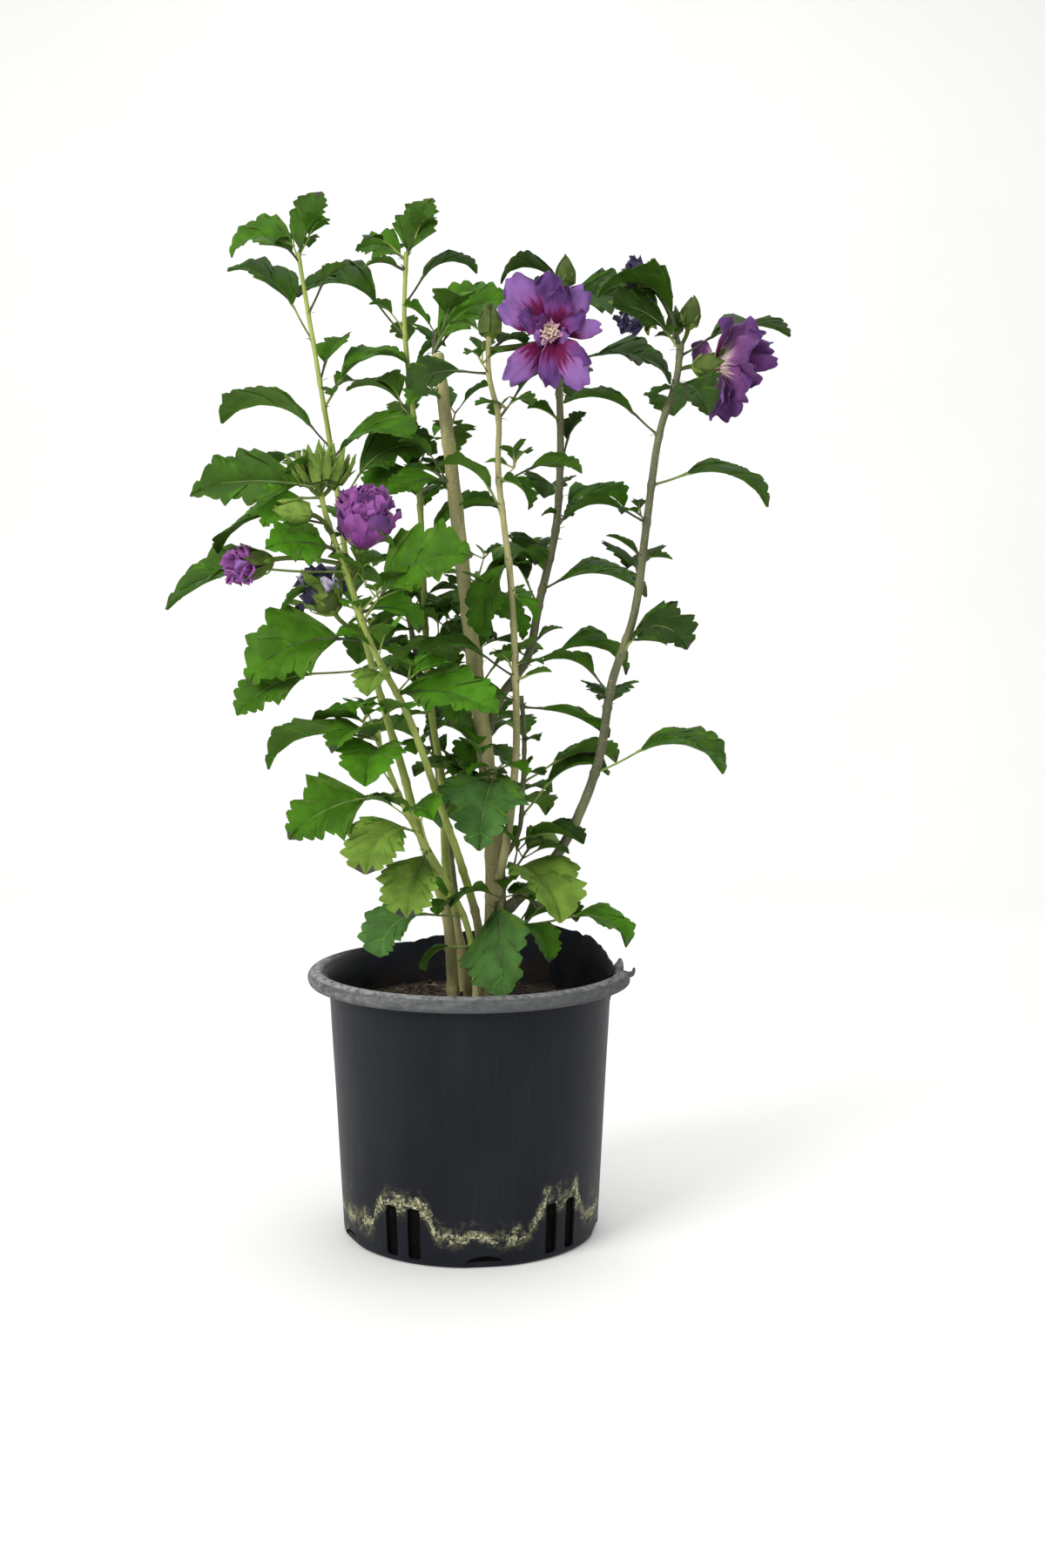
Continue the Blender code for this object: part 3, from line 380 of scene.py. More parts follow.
def turned(section, steps):
    """A section in millimetres turned fully round +Z, and the layer that numbers its points."""
    shape = bmesh.new()
    numbers = shape.verts.layers.int.new("order")
    column = []
    for index, (radius, height) in enumerate(section):
        column.append(shape.verts.new(Vector((radius, 0, height)) * MM))
        column[-1][numbers] = index
    edges = [shape.edges.new(pair) for pair in zip(column, column[1:])]
    bmesh.ops.spin(shape, geom=column + edges, cent=(0, 0, 0), axis=(0, 0, 1),
                   dvec=(0, 0, 0), angle=2 * math.pi, steps=steps, use_merge=True)
    return shape, numbers


def set_down(shape, place):
    """Move a bmesh drawn in millimetres to its place on the plant, in metres."""
    bmesh.ops.transform(shape, matrix=Matrix.Scale(MM, 4) @ place, verts=shape.verts)


def cut_away(made, cutter):
    """Cut a cutter's shape out of a piece and remove the cutter."""
    mesh = bpy.data.meshes.new("cutter")
    bmesh.ops.recalc_face_normals(cutter, faces=cutter.faces)
    cutter.to_mesh(mesh)
    cutter.free()
    hole = bpy.data.objects.new("cutter", mesh)
    bpy.context.scene.collection.objects.link(hole)
    cut = made.modifiers.new("cut", "BOOLEAN")
    cut.operation = "DIFFERENCE"
    cut.solver = "EXACT"
    cut.object = hole
    graph = bpy.context.evaluated_depsgraph_get()
    result = bpy.data.meshes.new_from_object(made.evaluated_get(graph))
    made.modifiers.clear()
    made.data = result
    bpy.data.objects.remove(hole)


def pour(part, whole, tint=None):
    """Add one finished bmesh to the bmesh of its piece, all in one material if it's given."""
    if tint is not None:
        for face in part.faces:
            face.material_index = tint
    mesh = bpy.data.meshes.new("part")
    part.to_mesh(mesh)
    part.free()
    whole.from_mesh(mesh)
    bpy.data.meshes.remove(mesh)


pot_shape, order = turned(pot_profile(0), POT_STEPS)
for vert in pot_shape.verts:
    azimuth = math.degrees(math.atan2(vert.co.y, vert.co.x))
    radius, height = pot_profile(azimuth)[vert[order]]
    dent = 0.35 * noise.noise(vert.co * 18) * ease(20, 120, height) * ease(60, 84, radius)
    vert.co = heading(azimuth, 0) * (radius + dent) * MM + Vector((0, 0, height * MM))
bmesh.ops.remove_doubles(pot_shape, verts=pot_shape.verts, dist=1e-6)
bmesh.ops.recalc_face_normals(pot_shape, faces=pot_shape.faces)
pot = piece("nursery_pot", pot_shape, [pot_plastic()], "black_plastic", "pot")

openings = bmesh.new()
for pair in range(SLOT_PAIRS):
    middle = PAIR_FIRST + 360.0 / SLOT_PAIRS * pair
    for sign in (-1, 1):
        slot = bmesh.new()
        bmesh.ops.create_cube(slot, size=1.0)
        bmesh.ops.scale(slot, vec=SLOT_SIZE, verts=slot.verts)
        through = [e for e in slot.edges if abs(e.verts[0].co.x - e.verts[1].co.x) > 1]
        bmesh.ops.bevel(slot, geom=through, offset=SLOT_ROUNDING, segments=4, profile=0.5,
                        affect="EDGES", material=-1)
        turn = Matrix.Rotation(math.radians(middle + sign * SLOT_SPREAD), 4, "Z")
        place = turn @ Matrix.Translation((POT_FOOT_RADIUS, 0, SLOT_MIDDLE))
        set_down(slot, place)
        pour(slot, openings)
    arch = bmesh.new()
    bmesh.ops.create_cone(arch, cap_ends=True, segments=32, radius1=1, radius2=1, depth=12)
    upright = Matrix.Rotation(math.radians(90), 4, "Y")
    bmesh.ops.transform(arch, matrix=upright, verts=arch.verts)
    bmesh.ops.scale(arch, vec=(1, ARCH_WIDTH / 2, ARCH_HEIGHT), verts=arch.verts)
    turn = Matrix.Rotation(math.radians(middle + 180.0 / SLOT_PAIRS), 4, "Z")
    place = turn @ Matrix.Translation((POT_FOOT_RADIUS + ARCH_OUT, 0, 0))
    set_down(arch, place)
    pour(arch, openings)
cut_away(pot, openings)
scraps = bmesh.new()
for guide, thick, thin in SCRAPS:
    line = [p * MM for p in smooth_line(guide, 5)]
    last = len(line) - 1
    scrap = limb(line, [(thick + (thin - thick) * k / last) * MM for k in range(last + 1)], 8)
    for vert in scrap.verts:
        vert.co += vert.normal * 0.5 * MM * noise.noise(vert.co * 300)
    pour(scrap, scraps)
piece("torn_scraps", scraps, [pot.data.materials[0]], "black_plastic")

# ==== potting soil =================================================================
# Dark peat-based soil that fills the pot nearly to its lip, mounded a little towards
# the stems, with crumbs, chips of bark and dry scraps of leaf lying loose on it.
SOIL_TOP = 149.0
SOIL_EDGE = 145.0
SOIL_STEPS = 144
CRUMBS = 620
CHIPS = 110
LOOSE_RADIUS = 85.5       # crumbs lie within this radius
BURIED = 3.9              # the soil's under side, just over the pot's floor


def soil_height(x, y):
    """Height of the soil's rough surface, in millimetres."""
    radius = math.hypot(x, y)
    mound = SOIL_EDGE + (SOIL_TOP - SOIL_EDGE) * ease(88, 40, radius)
    rough = noise.fractal(Vector((x, y, 7)) / 9, 0.9, 2.1, 4)
    return mound + 1.5 * rough


section = [(0.0, BURIED), (80.4, BURIED), (84.0, 70.0), (87.6, SOIL_EDGE - 3), (87.4, SOIL_EDGE)]
section += [(86.0 * (1 - k / 40), SOIL_TOP) for k in range(41)]
soil_shape = turned(section, SOIL_STEPS)[0]
bmesh.ops.remove_doubles(soil_shape, verts=soil_shape.verts, dist=1e-6)
for vert in soil_shape.verts:
    if vert.co.z > (SOIL_EDGE - 1) * MM:
        vert.co.z = soil_height(vert.co.x / MM, vert.co.y / MM) * MM
bmesh.ops.recalc_face_normals(soil_shape, faces=soil_shape.faces)
peat = finish("damp_peat", (0.044, 0.032, 0.022), (0.014, 0.011, 0.008), 120.0,
              (0.85, 0.98), 0.0012, specular=0.2)
# painted shade: near-black peat for the soil's sides, which show in shadow through the slots
deep_peat = finish("deep_peat", (0.006, 0.005, 0.004), (0.002, 0.002, 0.002), 150.0,
                   (0.85, 0.98), 0.0012, specular=0.05)
# the sides below the soil's edge take the painted shade
for face in soil_shape.faces:
    face.material_index = int(face.calc_center_median().z < (SOIL_EDGE - 4) * MM)
piece("potting_soil", soil_shape, [peat, deep_peat], "potting_soil", "soil")

chip_brown = finish("bark_chips", (0.085, 0.052, 0.030), (0.028, 0.018, 0.012), 150.0,
                    (0.75, 0.95), 0.0006)
straw = finish("dry_scraps", (0.24, 0.17, 0.09), (0.10, 0.065, 0.035), 110.0,
               (0.7, 0.9), 0.0004)
crumbs = bmesh.new()
rng = random.Random(23)
for index in range(CRUMBS + CHIPS):
    azimuth = rng.uniform(0, 360)
    x, y, _ = heading(azimuth, 0) * LOOSE_RADIUS * math.sqrt(rng.uniform(0.0, 1.0))
    crumb = bmesh.new()
    turn = Matrix.Rotation(rng.uniform(0, 6.3), 4, "Z") @ Matrix.Rotation(
        rng.uniform(-0.5, 0.5), 4, "X")
    if index < CRUMBS:
        bmesh.ops.create_icosphere(crumb, subdivisions=1, radius=1.0)
        size = rng.uniform(0.5, 1.9)
        measures = (size * rng.uniform(0.8, 1.7), size, size * rng.uniform(0.5, 0.9))
        kind = rng.choice((0, 0, 1))
    else:
        bmesh.ops.create_cube(crumb, size=1.6)
        bmesh.ops.bevel(crumb, geom=crumb.edges, offset=0.18, segments=1, profile=0.5,
                        affect="EDGES", material=-1)
        measures = (rng.uniform(1.5, 6.0), rng.uniform(0.7, 2.0), rng.uniform(0.3, 0.9))
        kind = rng.choice((1, 1, 2))
    for vert in crumb.verts:
        vert.co *= rng.uniform(0.82, 1.15)
    bmesh.ops.scale(crumb, vec=measures, verts=crumb.verts)
    place = Matrix.Translation((x, y, soil_height(x, y) + 0.35 * measures[2])) @ turn
    set_down(crumb, place)
    pour(crumb, crumbs, kind)
piece("soil_crumbs", crumbs, [peat, chip_brown, straw], "potting_soil")

# ==== trunk ========================================================================
# The oldest stem, of hard pale wood under thin tan bark.  It leans a little to the left,
# is grooved lengthwise, dotted with cork pores, and ends in an old pruning cut.
TRUNK = ((15, 0, 145), (16, 0, 188), (17, 1, 234), (10, 3, 307), (3, 6, 366), (-5, 8, 432),
         (-10, 9, 479), (-16, 10, 529), (-20, 10, 564))
TRUNK_FOOT = 7.2
TRUNK_TIP = 4.4
TRUNK_FLARE = 2.0
TRUNK_SIDES = 28
FOOT = SOIL_TOP + 0.3
SUNK = 5.0                # how deep the limbs of the scene go on into the soil
TAN = (0.42, 0.400, 0.185)
DARK_TAN = (0.235, 0.225, 0.100)
SLIMMED = 0.87            # bark against the solid under it
CORK = (0.50, 0.45, 0.27)
CUT_WOOD = (0.50, 0.40, 0.25)


def route(points, pieces=6):
    """Smooth centre line in metres through guide points in millimetres."""
    return smooth_line([Vector(p) * MM for p in points], pieces)


def point_at(line, height):
    """Point of a rising centre line at one height, and its position along the line."""
    for i in range(len(line) - 1):
        a, b = line[i], line[i + 1]
        if a.z <= height <= b.z:
            t = (height - a.z) / max(b.z - a.z, 1e-9)
            return a.lerp(b, t), i + t
    return (line[0].copy(), 0.0) if height < line[0].z else (line[-1].copy(), len(line) - 1.0)


def bark_relief(shape, depth, across, along):
    """Groove a limb lengthwise: noise `across` per metre, drawn out `along` times."""
    shape.normal_update()
    for vert in shape.verts:
        spot = Vector((vert.co.x * across, vert.co.y * across, vert.co.z * across / along))
        groove = noise.fractal(spot, 0.8, 2.3, 3)
        knob = max(0.0, noise.noise(vert.co * across * 1.7) - 0.35)
        vert.co += vert.normal * depth * (groove + 1.6 * knob)


def swollen(height, nodes, length):
    """How far a limb is swollen at a height by the old leaf bases at its nodes."""
    return sum(math.exp(-((height - at) / length) ** 2) for at in nodes)


def bark(name, light, dark, pore, grain, roughness, bump, pores):
    """Bark of patchy colour with pale cork pores, which lie across the limb."""
    mat, tree, shader, patchy = surface(name, light, dark, grain, roughness, bump, 5.0, 0.2)
    flat = drawn_out(place_in(tree), 1.0, 1.0, 2.2)
    cells = put(tree, "TexVoronoi", {"Vector": flat, "Scale": 300.0})
    dots = between(cells.outputs["Distance"], 0.26, 0.12, 0.0, pores)
    tree.links.new(blend(dots, patchy.outputs["Color"], pore), shader.inputs["Base Color"])
    return mat


trunk_line = route(TRUNK)


def trunk_radius(height):
    """The trunk's radius at a height, with its flare at the foot, in millimetres."""
    share = max(0.0, min(1.0, (height - FOOT) / (TRUNK[-1][2] - FOOT)))
    flare = TRUNK_FLARE * max(0.0, 1 - (height - FOOT) / 22) ** 2
    return TRUNK_FOOT + (TRUNK_TIP - TRUNK_FOOT) * share + flare


def stretch(line, low, high, step):
    """Evenly spaced points of a line between two heights in millimetres."""
    count = max(2, round((high - low) / step))
    return [point_at(line, (low + (high - low) * k / count) * MM)[0] for k in range(count + 1)]


tan_bark = bark("tan_bark", TAN, DARK_TAN, CORK, 90.0, (0.70, 0.86), 0.0006, 0.75)
cut_wood = finish("cut_wood", CUT_WOOD, TAN, 300.0, (0.7, 0.8), 0.0003)
spine = stretch(trunk_line, FOOT, TRUNK[-1][2], 2.2)
spine.insert(0, spine[0] - Vector((0, 0, SUNK * MM)))
old_nodes = [FOOT + 24 + 33 * k + 5 * math.sin(7 * k) for k in range(12)]
widths = []
for spot in spine:
    height = spot.z / MM
    widths.append((SLIMMED * trunk_radius(height)
                   + 0.40 * swollen(height, old_nodes, 2.6)) * MM)
widths[-1] *= 0.86
trunk_shape = limb(spine, widths, TRUNK_SIDES)
bark_relief(trunk_shape, 0.00034, 330, 6)
for face in trunk_shape.faces:
    face.material_index = int(face.normal.z > 0.8 and face.calc_center_median().z > 0.55)
piece("trunk_bark", trunk_shape, [tan_bark, cut_wood], "tan_bark", "trunk")

# ==== boughs =======================================================================
# Nine long slender stems.  Six rise from the soil beside the trunk and three fork from
# it, with green, olive or tan bark by their age and rings where leaves have dropped.

# a stem's row: name, height where its leafy shoot begins, radius at its foot and at its
# tip, guide points
STEMS = (
    ("left", 372, 4.4, 0.9,
     ((-11, 2, 145), (-14, 1, 197), (-21, 0, 224), (-36, 0, 270), (-43, 3, 297), (-59, 10, 350),
      (-79, 20, 427), (-89, 30, 495), (-99, 35, 555), (-112, 40, 633))),
    ("left_front", 330, 3.2, 1.2,
     ((9, -14, 145), (6, -17, 197), (-4, -21, 237), (-17, -28, 277), (-36, -42, 334),
      (-58, -52, 379), (-74, -59, 427), (-83, -61, 453), (-89, -63, 478))),
    ("front_low", 184, 2.3, 1.2,
     ((5, -22, 145), (1, -25, 193), (-12, -31, 228), (-35, -42, 270), (-50, -49, 307),
      (-56, -52, 326))),
    ("mid_left", 325, 3.6, 1.0,
     ((-1, 14, 142), (-5, 15, 173), (-16, 19, 231), (-19, 25, 288), (-28, 34, 351),
      (-34, 47, 472), (-38, 51, 527), (-44, 55, 586), (-43, 57, 637))),
    ("centre", 322, 3.3, 1.2,
     ((16, 1, 219), (21, -7, 240), (25, -12, 263), (28, -14, 289), (30, -16, 329),
      (27, -19, 412), (19, -21, 482), (19, -21, 519), (13, -21, 546), (13, -20, 572))),
    ("right_centre", 358, 3.3, 2.0,
     ((8, 4, 315), (20, 9, 346), (37, 12, 371), (45, 15, 408), (55, 18, 452), (58, 20, 491),
      (58, 21, 530), (56, 21, 569), (61, 20, 607))),
    ("right", 294, 4.4, 1.9,
     ((16, 0, 199), (24, -1, 209), (38, -3, 223), (56, -6, 245), (71, -10, 274), (83, -14, 310),
      (90, -18, 355), (104, -22, 400), (111, -26, 456), (118, -28, 508), (128, -28, 540),
      (131, -28, 564))),
    ("back_left", 280, 3.2, 1.3,
     ((-6, 30, 145), (-14, 46, 230), (-28, 68, 320), (-42, 86, 385), (-50, 94, 430))),
    ("back_right", 270, 3.0, 1.3,
     ((9, 28, 145), (11, 50, 225), (6, 80, 310), (4, 102, 380), (2, 114, 430))),
)
BOUGH_SIDES = 18
BARE_NODE_STEP = 27.0     # way between the old leaf bases of a bough
WOODY_BELOW = 208.0       # green bark has turned to tan cork below here


def tapering(foot, tip):
    """The radius of a stem, in millimetres, as a function of the share of its way up."""
    return lambda share: foot + (tip - foot) * share ** 0.85


def stem_limb(line, low, high, radius, nodes, sides):
    """One length of a stem with its swollen nodes; `radius` is a function of the share."""
    spots = stretch(line, low, high, 2.0)
    widths = []
    for spot in spots:
        share = point_at(line, spot.z)[1] / (len(line) - 1)
        lump = min(1.0, swollen(spot.z / MM, nodes, 1.8))
        widths.append(math.hypot(SLIMMED * radius(share), 1.1) * (1 + 0.20 * lump) * MM)
    return limb(spots, widths, sides)


green_bark = bark("green_bark", (0.37, 0.44, 0.110), (0.23, 0.300, 0.060), (0.46, 0.45, 0.22),
                  80.0, (0.42, 0.56), 0.0002, 0.45)
olive_bark = bark("olive_bark", (0.165, 0.172, 0.085), (0.083, 0.087, 0.048), (0.29, 0.28, 0.17),
                  80.0, (0.55, 0.70), 0.0003, 0.6)
BARKS = {"left": green_bark, "left_front": green_bark, "front_low": green_bark,
         "mid_left": green_bark, "centre": tan_bark, "right_centre": olive_bark,
         "right": olive_bark, "back_left": olive_bark, "back_right": tan_bark}

lines = {}
stem_widths = {}
for name, split, foot_radius, tip_radius, guide in STEMS:
    line = route(guide)
    radius = tapering(foot_radius, tip_radius)
    lines["shoot_" + name] = line
    stem_widths["shoot_" + name] = (split, radius)
    rooted = guide[0][2] < SOIL_TOP
    low = FOOT - SUNK if rooted else guide[0][2]
    nodes = [low + 12 + BARE_NODE_STEP * k for k in range(int((split - low) / BARE_NODE_STEP))]
    shape = stem_limb(line, low, split + 0.15, radius, nodes, BOUGH_SIDES)
    bark_relief(shape, 0.00020, 380, 7)
    for face in shape.faces:
        middle = face.calc_center_median()
        woody = WOODY_BELOW + 22 * noise.noise(middle * 70)
        face.material_index = int(middle.z < woody * MM)
    slot = "green_bark" if "left" in name else "tan_bark"
    piece("bark_" + name, shape, [BARKS[name], tan_bark], slot, "bough_" + name)

# ==== leaves, their stalks and the upper stems =====================================
# Soft green blades, three-lobed and coarsely toothed, folded along the midrib and bent
# down, on thin stalks that sit on the nodes of the young stems.  Little straps stand by
# the stalks, and buds of new leaf in some of the axils.
THIN_STEM = ((17, 0, 234), (25, -4, 247), (32, -7, 262), (34, -7, 288), (35, -6, 320),
             (33, -4, 347))
# a sprig of the trunk: name, height it stands at, direction, rise, length and radius
SPRIGS = (
    ("sprig_trunk_top", 550, 120, 58, 14, 1.6),
    ("sprig_upper_front", 534, 230, 30, 8, 1.3),
    ("sprig_upper_left", 480, 205, 35, 12, 1.3),
    ("sprig_upper_right", 512, 80, 30, 7, 1.3),
    ("sprig_middle_left", 372, 165, 35, 12, 1.4),
    ("sprig_middle_right", 404, 60, 35, 12, 1.3),
    ("sprig_low_front", 290, 285, 15, 12, 1.5),
    ("sprig_low_left", 272, 150, 30, 14, 1.4),
    ("sprig_low_back", 258, 80, 30, 16, 1.5),
    ("sprig_low_right", 212, 325, 60, 19, 1.5),
    ("sprig_foot_front", 214, 268, -5, 10, 1.5),
    ("sprig_foot_right", 192, 350, 20, 14, 1.5),
)
# a shoot's leaves: height of the foot of the stalk, its direction, length of stalk and of
# blade, rise over the level, bend over the blade's length and, if it's rolled, its roll
LEAVES = {
    "shoot_left": (
        (631, 28, 4, 42, 74, 12, 12), (627, 178, 8, 50, 52, 105, -42), (594, 345, 21, 24, 62, 70),
        (576, 165, 28, 56, 60, 60, -20), (550, 60, 14, 34, 65, 55), (533, 8, 21, 52, 60, 85, 10),
        (507, 180, 20, 66, 48, 92, -8), (500, 328, 8, 62, 40, 70, 35),
        (470, 352, 25, 58, 55, 80, 40), (452, 95, 14, 42, 40, 70), (419, 60, 14, 46, 40, 70),
        (397, 120, 17, 46, 40, 70), (384, 20, 14, 44, 40, 70),
    ),
    "shoot_left_front": (
        (474, 184, 12, 68, 8, 24, -54), (468, 222, 14, 33, -5, 60, -50),
        (452, 188, 26, 66, 3, 72, -30), (436, 196, 8, 50, 5, 35, -60),
        (424, 176, 51, 74, 2, 45, -15), (420, 168, 10, 36, -10, 35, -20),
        (399, 15, 6, 40, 20, 80, 20), (394, 338, 24, 64, 41, 62, 60),
        (382, 192, 19, 66, 5, 60, -55), (366, 186, 45, 52, -5, 50, -40), (362, 255, 6, 32, 5, 60),
        (350, 337, 3, 68, 12, 45, 32),
    ),
    "shoot_front_low": (
        (322, 188, 17, 60, 12, 60), (321, 232, 6, 48, 25, 60, -10), (314, 262, 7, 48, 15, 80),
        (306, 205, 24, 34, 35, 95, -30), (288, 198, 20, 56, -5, 42, -60),
        (264, 235, 14, 50, 15, 100, -20), (252, 250, 7, 46, -25, 55), (238, 80, 10, 40, 30, 70),
        (209, 196, 26, 44, 5, 95, -25), (189, 186, 14, 24, 0, 90),
    ),
    "shoot_mid_left": (
        (634, 25, 4, 42, 72, 12, 48), (632, 165, 5, 34, 40, 60, -45), (625, 200, 6, 24, 25, 60),
        (603, 18, 23, 44, 56, 95), (582, 172, 31, 60, 60, 92, -20), (556, 15, 14, 22, 60, 60),
        (529, 168, 16, 40, 50, 80, -10), (508, 268, 3, 28, 0, 65), (495, 215, 6, 38, -5, 45, -30),
        (494, 355, 8, 36, 20, 50), (470, 90, 12, 46, 35, 70), (438, 12, 17, 56, 60, 80),
        (430, 190, 12, 36, 20, 60), (390, 195, 12, 38, 0, 70, -20), (372, 345, 11, 44, 40, 60),
        (352, 80, 11, 44, 30, 70), (335, 200, 6, 22, 0, 50),
    ),
    "sprig_trunk_top": (
        (566, 352, 9, 54, 64, 70, 55), (566, 30, 17, 20, 50, 60), (566, 110, 14, 40, 40, 70),
    ),
    "sprig_upper_front": ((538, 235, 3, 28, 10, 60, -30),),
    "sprig_upper_left": (
        (484, 200, 4, 36, 5, 40, -30), (483, 160, 8, 34, 30, 60),
    ),
    "sprig_upper_right": ((519, 85, 3, 32, 15, 80),),
    "sprig_middle_left": (
        (379, 170, 6, 44, 10, 60, -10), (379, 110, 6, 34, 10, 70),
    ),
    "sprig_middle_right": (
        (409, 350, 8, 38, -10, 70, 30), (408, 95, 9, 42, 30, 60),
    ),
    "sprig_low_front": (
        (294, 260, 3, 64, -8, 66), (292, 212, 8, 44, -15, 70),
    ),
    "sprig_low_left": (
        (277, 165, 12, 46, 60, 95), (276, 110, 8, 46, 30, 60),
    ),
    "sprig_low_back": (
        (264, 50, 8, 50, 35, 70), (262, 100, 12, 54, 20, 70),
    ),
    "sprig_low_right": (
        (236, 312, 2, 68, 22, 100), (236, 5, 18, 38, 30, 80, 25),
    ),
    "sprig_foot_front": ((214, 268, 2, 66, -30, 45, 46),),
    "sprig_foot_right": (
        (199, 350, 34, 44, 12, 78, 20), (198, 306, 4, 38, 10, 90), (197, 35, 8, 46, 30, 70),
    ),
    "shoot_centre": (
        (570, 160, 9, 20, 45, 50), (566, 330, 7, 20, 60, 50), (560, 30, 11, 30, 30, 60),
        (547, 181, 18, 36, 5, 45, -50), (519, 14, 26, 36, 40, 40), (480, 2, 22, 34, 25, 60, -25),
        (482, 330, 4, 32, -5, 70), (467, 178, 3, 24, 5, 12), (462, 160, 16, 46, 52, 75),
        (430, 60, 11, 40, 30, 70), (432, 188, 3, 50, -50, 45, -30), (412, 335, 4, 22, -30, 40),
        (372, 170, 3, 14, 20, 40), (359, 188, 25, 46, 35, 72, -10), (357, 355, 6, 18, 25, 30),
        (344, 195, 6, 46, 20, 85, -20), (392, 300, 10, 40, 30, 80),
    ),
    "shoot_centre_thin": (
        (340, 358, 13, 50, -4, 40), (333, 175, 4, 14, 20, 40), (319, 300, 3, 16, 15, 30),
        (312, 4, 24, 46, 38, 82), (292, 352, 26, 50, 20, 55), (270, 8, 27, 50, 50, 78),
        (253, 352, 14, 46, 12, 52),
    ),
    "shoot_right_centre": (
        (605, 182, 8, 44, 60, 98), (603, 165, 4, 20, 40, 50), (601, 2, 4, 54, 8, 30, 50),
        (560, 2, 27, 55, 12, 58, 28), (523, 176, 4, 20, 40, 40), (494, 35, 18, 25, 72, 40),
        (453, 20, 17, 46, 58, 110), (415, 2, 13, 62, 28, 78), (404, 148, 19, 26, 62, 30),
        (380, 10, 6, 18, 42, 40), (367, 0, 26, 52, 22, 78), (474, 100, 14, 42, 30, 70),
        (540, 80, 12, 44, 35, 70), (435, 110, 12, 44, 30, 70),
    ),
    "shoot_right": (
        (563, 193, 20, 60, 72, 125), (560, 206, 14, 42, 48, 60, -50),
        (556, 352, 25, 64, 22, 55, 22), (540, 312, 9, 40, -14, 55, 20), (538, 205, 3, 18, -10, 50),
        (508, 180, 22, 46, 42, 70), (524, 80, 12, 44, 30, 70), (478, 0, 23, 60, 18, 78, 12),
        (455, 180, 17, 40, 30, 80), (434, 172, 3, 24, 42, 20), (434, 0, 3, 16, 5, 20),
        (418, 95, 14, 46, 30, 70), (383, 0, 6, 20, 0, 15), (372, 337, 12, 56, 48, 118, 22),
        (349, 190, 16, 36, 50, 72), (340, 85, 12, 46, 30, 70), (298, 0, 33, 62, 27, 82, 12),
    ),
}
# shoots behind, whose leaves follow one another round the stem by the golden angle: name,
# count of leaves, and the length of their blades and of their stalks
ROUND_SHOOTS = (("shoot_back_left", 11, 52, 16), ("shoot_back_right", 11, 52, 16))
LEAF_HALF = 0.42          # half width of a broad blade over its length
LEAF_FOLD = 25.0          # how far the two halves rise from the midrib
LEAF_TEETH = 6            # teeth on each side
FIRST_TOOTH = 0.38        # the blade is plain below here
LEAF_THICK = 0.007        # over blade length
VEIN_HALF = 0.0030        # half width of a side vein, over blade length
STALK_HALF = 0.92
STALK_SIDES = 6
SHOOT_SIDES = 14
SPRIG_STEPS = 6
GOLDEN_ANGLE = 137.5
TRY_TURNS = ((0, 0), (8, 0), (-8, 0), (0, 10), (0, -10), (16, 5), (-16, 5), (26, 10),
             (-26, 10), (38, 15), (-38, 15))
SEATED = 1.6              # a leaf's midrib lies this near its solid, in millimetres
BLADE, VEIN, UNDER = 0, 1, 2
FINE_STEPS = (-1.0, -0.7, -0.36, -0.022, 0.0, 0.022, 0.36, 0.7, 1.0)


def lobed_width(forward, form):
    """Half width of a blade at a share of its length, through the middle of its teeth.

    `form` = (where it is widest, how blunt its end is, how deep its lobes are, its breadth).
    """
    widest, blunt, lobing, breadth = form
    if forward < widest:
        share = forward / widest
        swell = 0.55 * share ** 0.9 + 0.45 * math.sin(math.pi / 2 * share)
    else:
        swell = max(0.0, 1 - ((forward - widest) / (1.01 - widest)) ** blunt)
    sinus = math.exp(-((forward - widest - 0.13) / 0.06) ** 2)
    return breadth * (swell - 0.22 * lobing * sinus)


def leaf_rows(form, bite, rng, teeth):
    """The rows of a blade: forward place and half width of the edge, midrib place, kind."""
    rows = [(0.0, 0.008, 0.0, 0)]
    for forward, root in ((0.05, 0.012), (0.13, 0.025), (0.22, 0.033), (0.31, 0.040)):
        rows.append((forward, lobed_width(forward, form), root, 0))
    step = (0.97 - FIRST_TOOTH) / (teeth - 0.5)
    for k in range(teeth):
        at = FIRST_TOOTH + step * (k + rng.uniform(-0.16, 0.16))
        root = max(at - 1.05 * lobed_width(at, form), 0.05 + 0.02 * k)
        tooth = bite * (0.40 + 0.6 * lobed_width(at, form) / form[3]) * rng.uniform(0.45, 1.5)
        vein = (1, 2) if k % 2 else (0, 0)
        for shift, out, back, kind in ((-0.47, -0.60, -0.30, 0), (-0.25, 0.22, -0.14, 0),
                                       (0.06, 0.50, -VEIN_HALF, vein[0]),
                                       (0.12, 0.50, VEIN_HALF, vein[1]),
                                       (0.36, 0.02, 0.16, 0)):
            along = min(0.998, at + shift * step)
            wide = max(0.012, lobed_width(along, form) + out * tooth)
            back = back * step if abs(back) > VEIN_HALF else back
            rows.append((along, wide, min(0.985, root + back), kind))
    rows.append((1.0, 0.010, 0.992, 0))
    return rows


def thicken(shape, thickness):
    """Give a thin open sheet a second face below it: a test of which faces are on it."""
    shape.normal_update()
    lower = set(grown_points(shape, bmesh.ops.extrude_face_region, geom=shape.faces[:],
                             use_keep_orig=True)[0])
    for vert in lower:
        vert.co -= vert.normal * thickness
    bmesh.ops.recalc_face_normals(shape, faces=shape.faces)
    return lambda face: not lower.isdisjoint(face.verts)


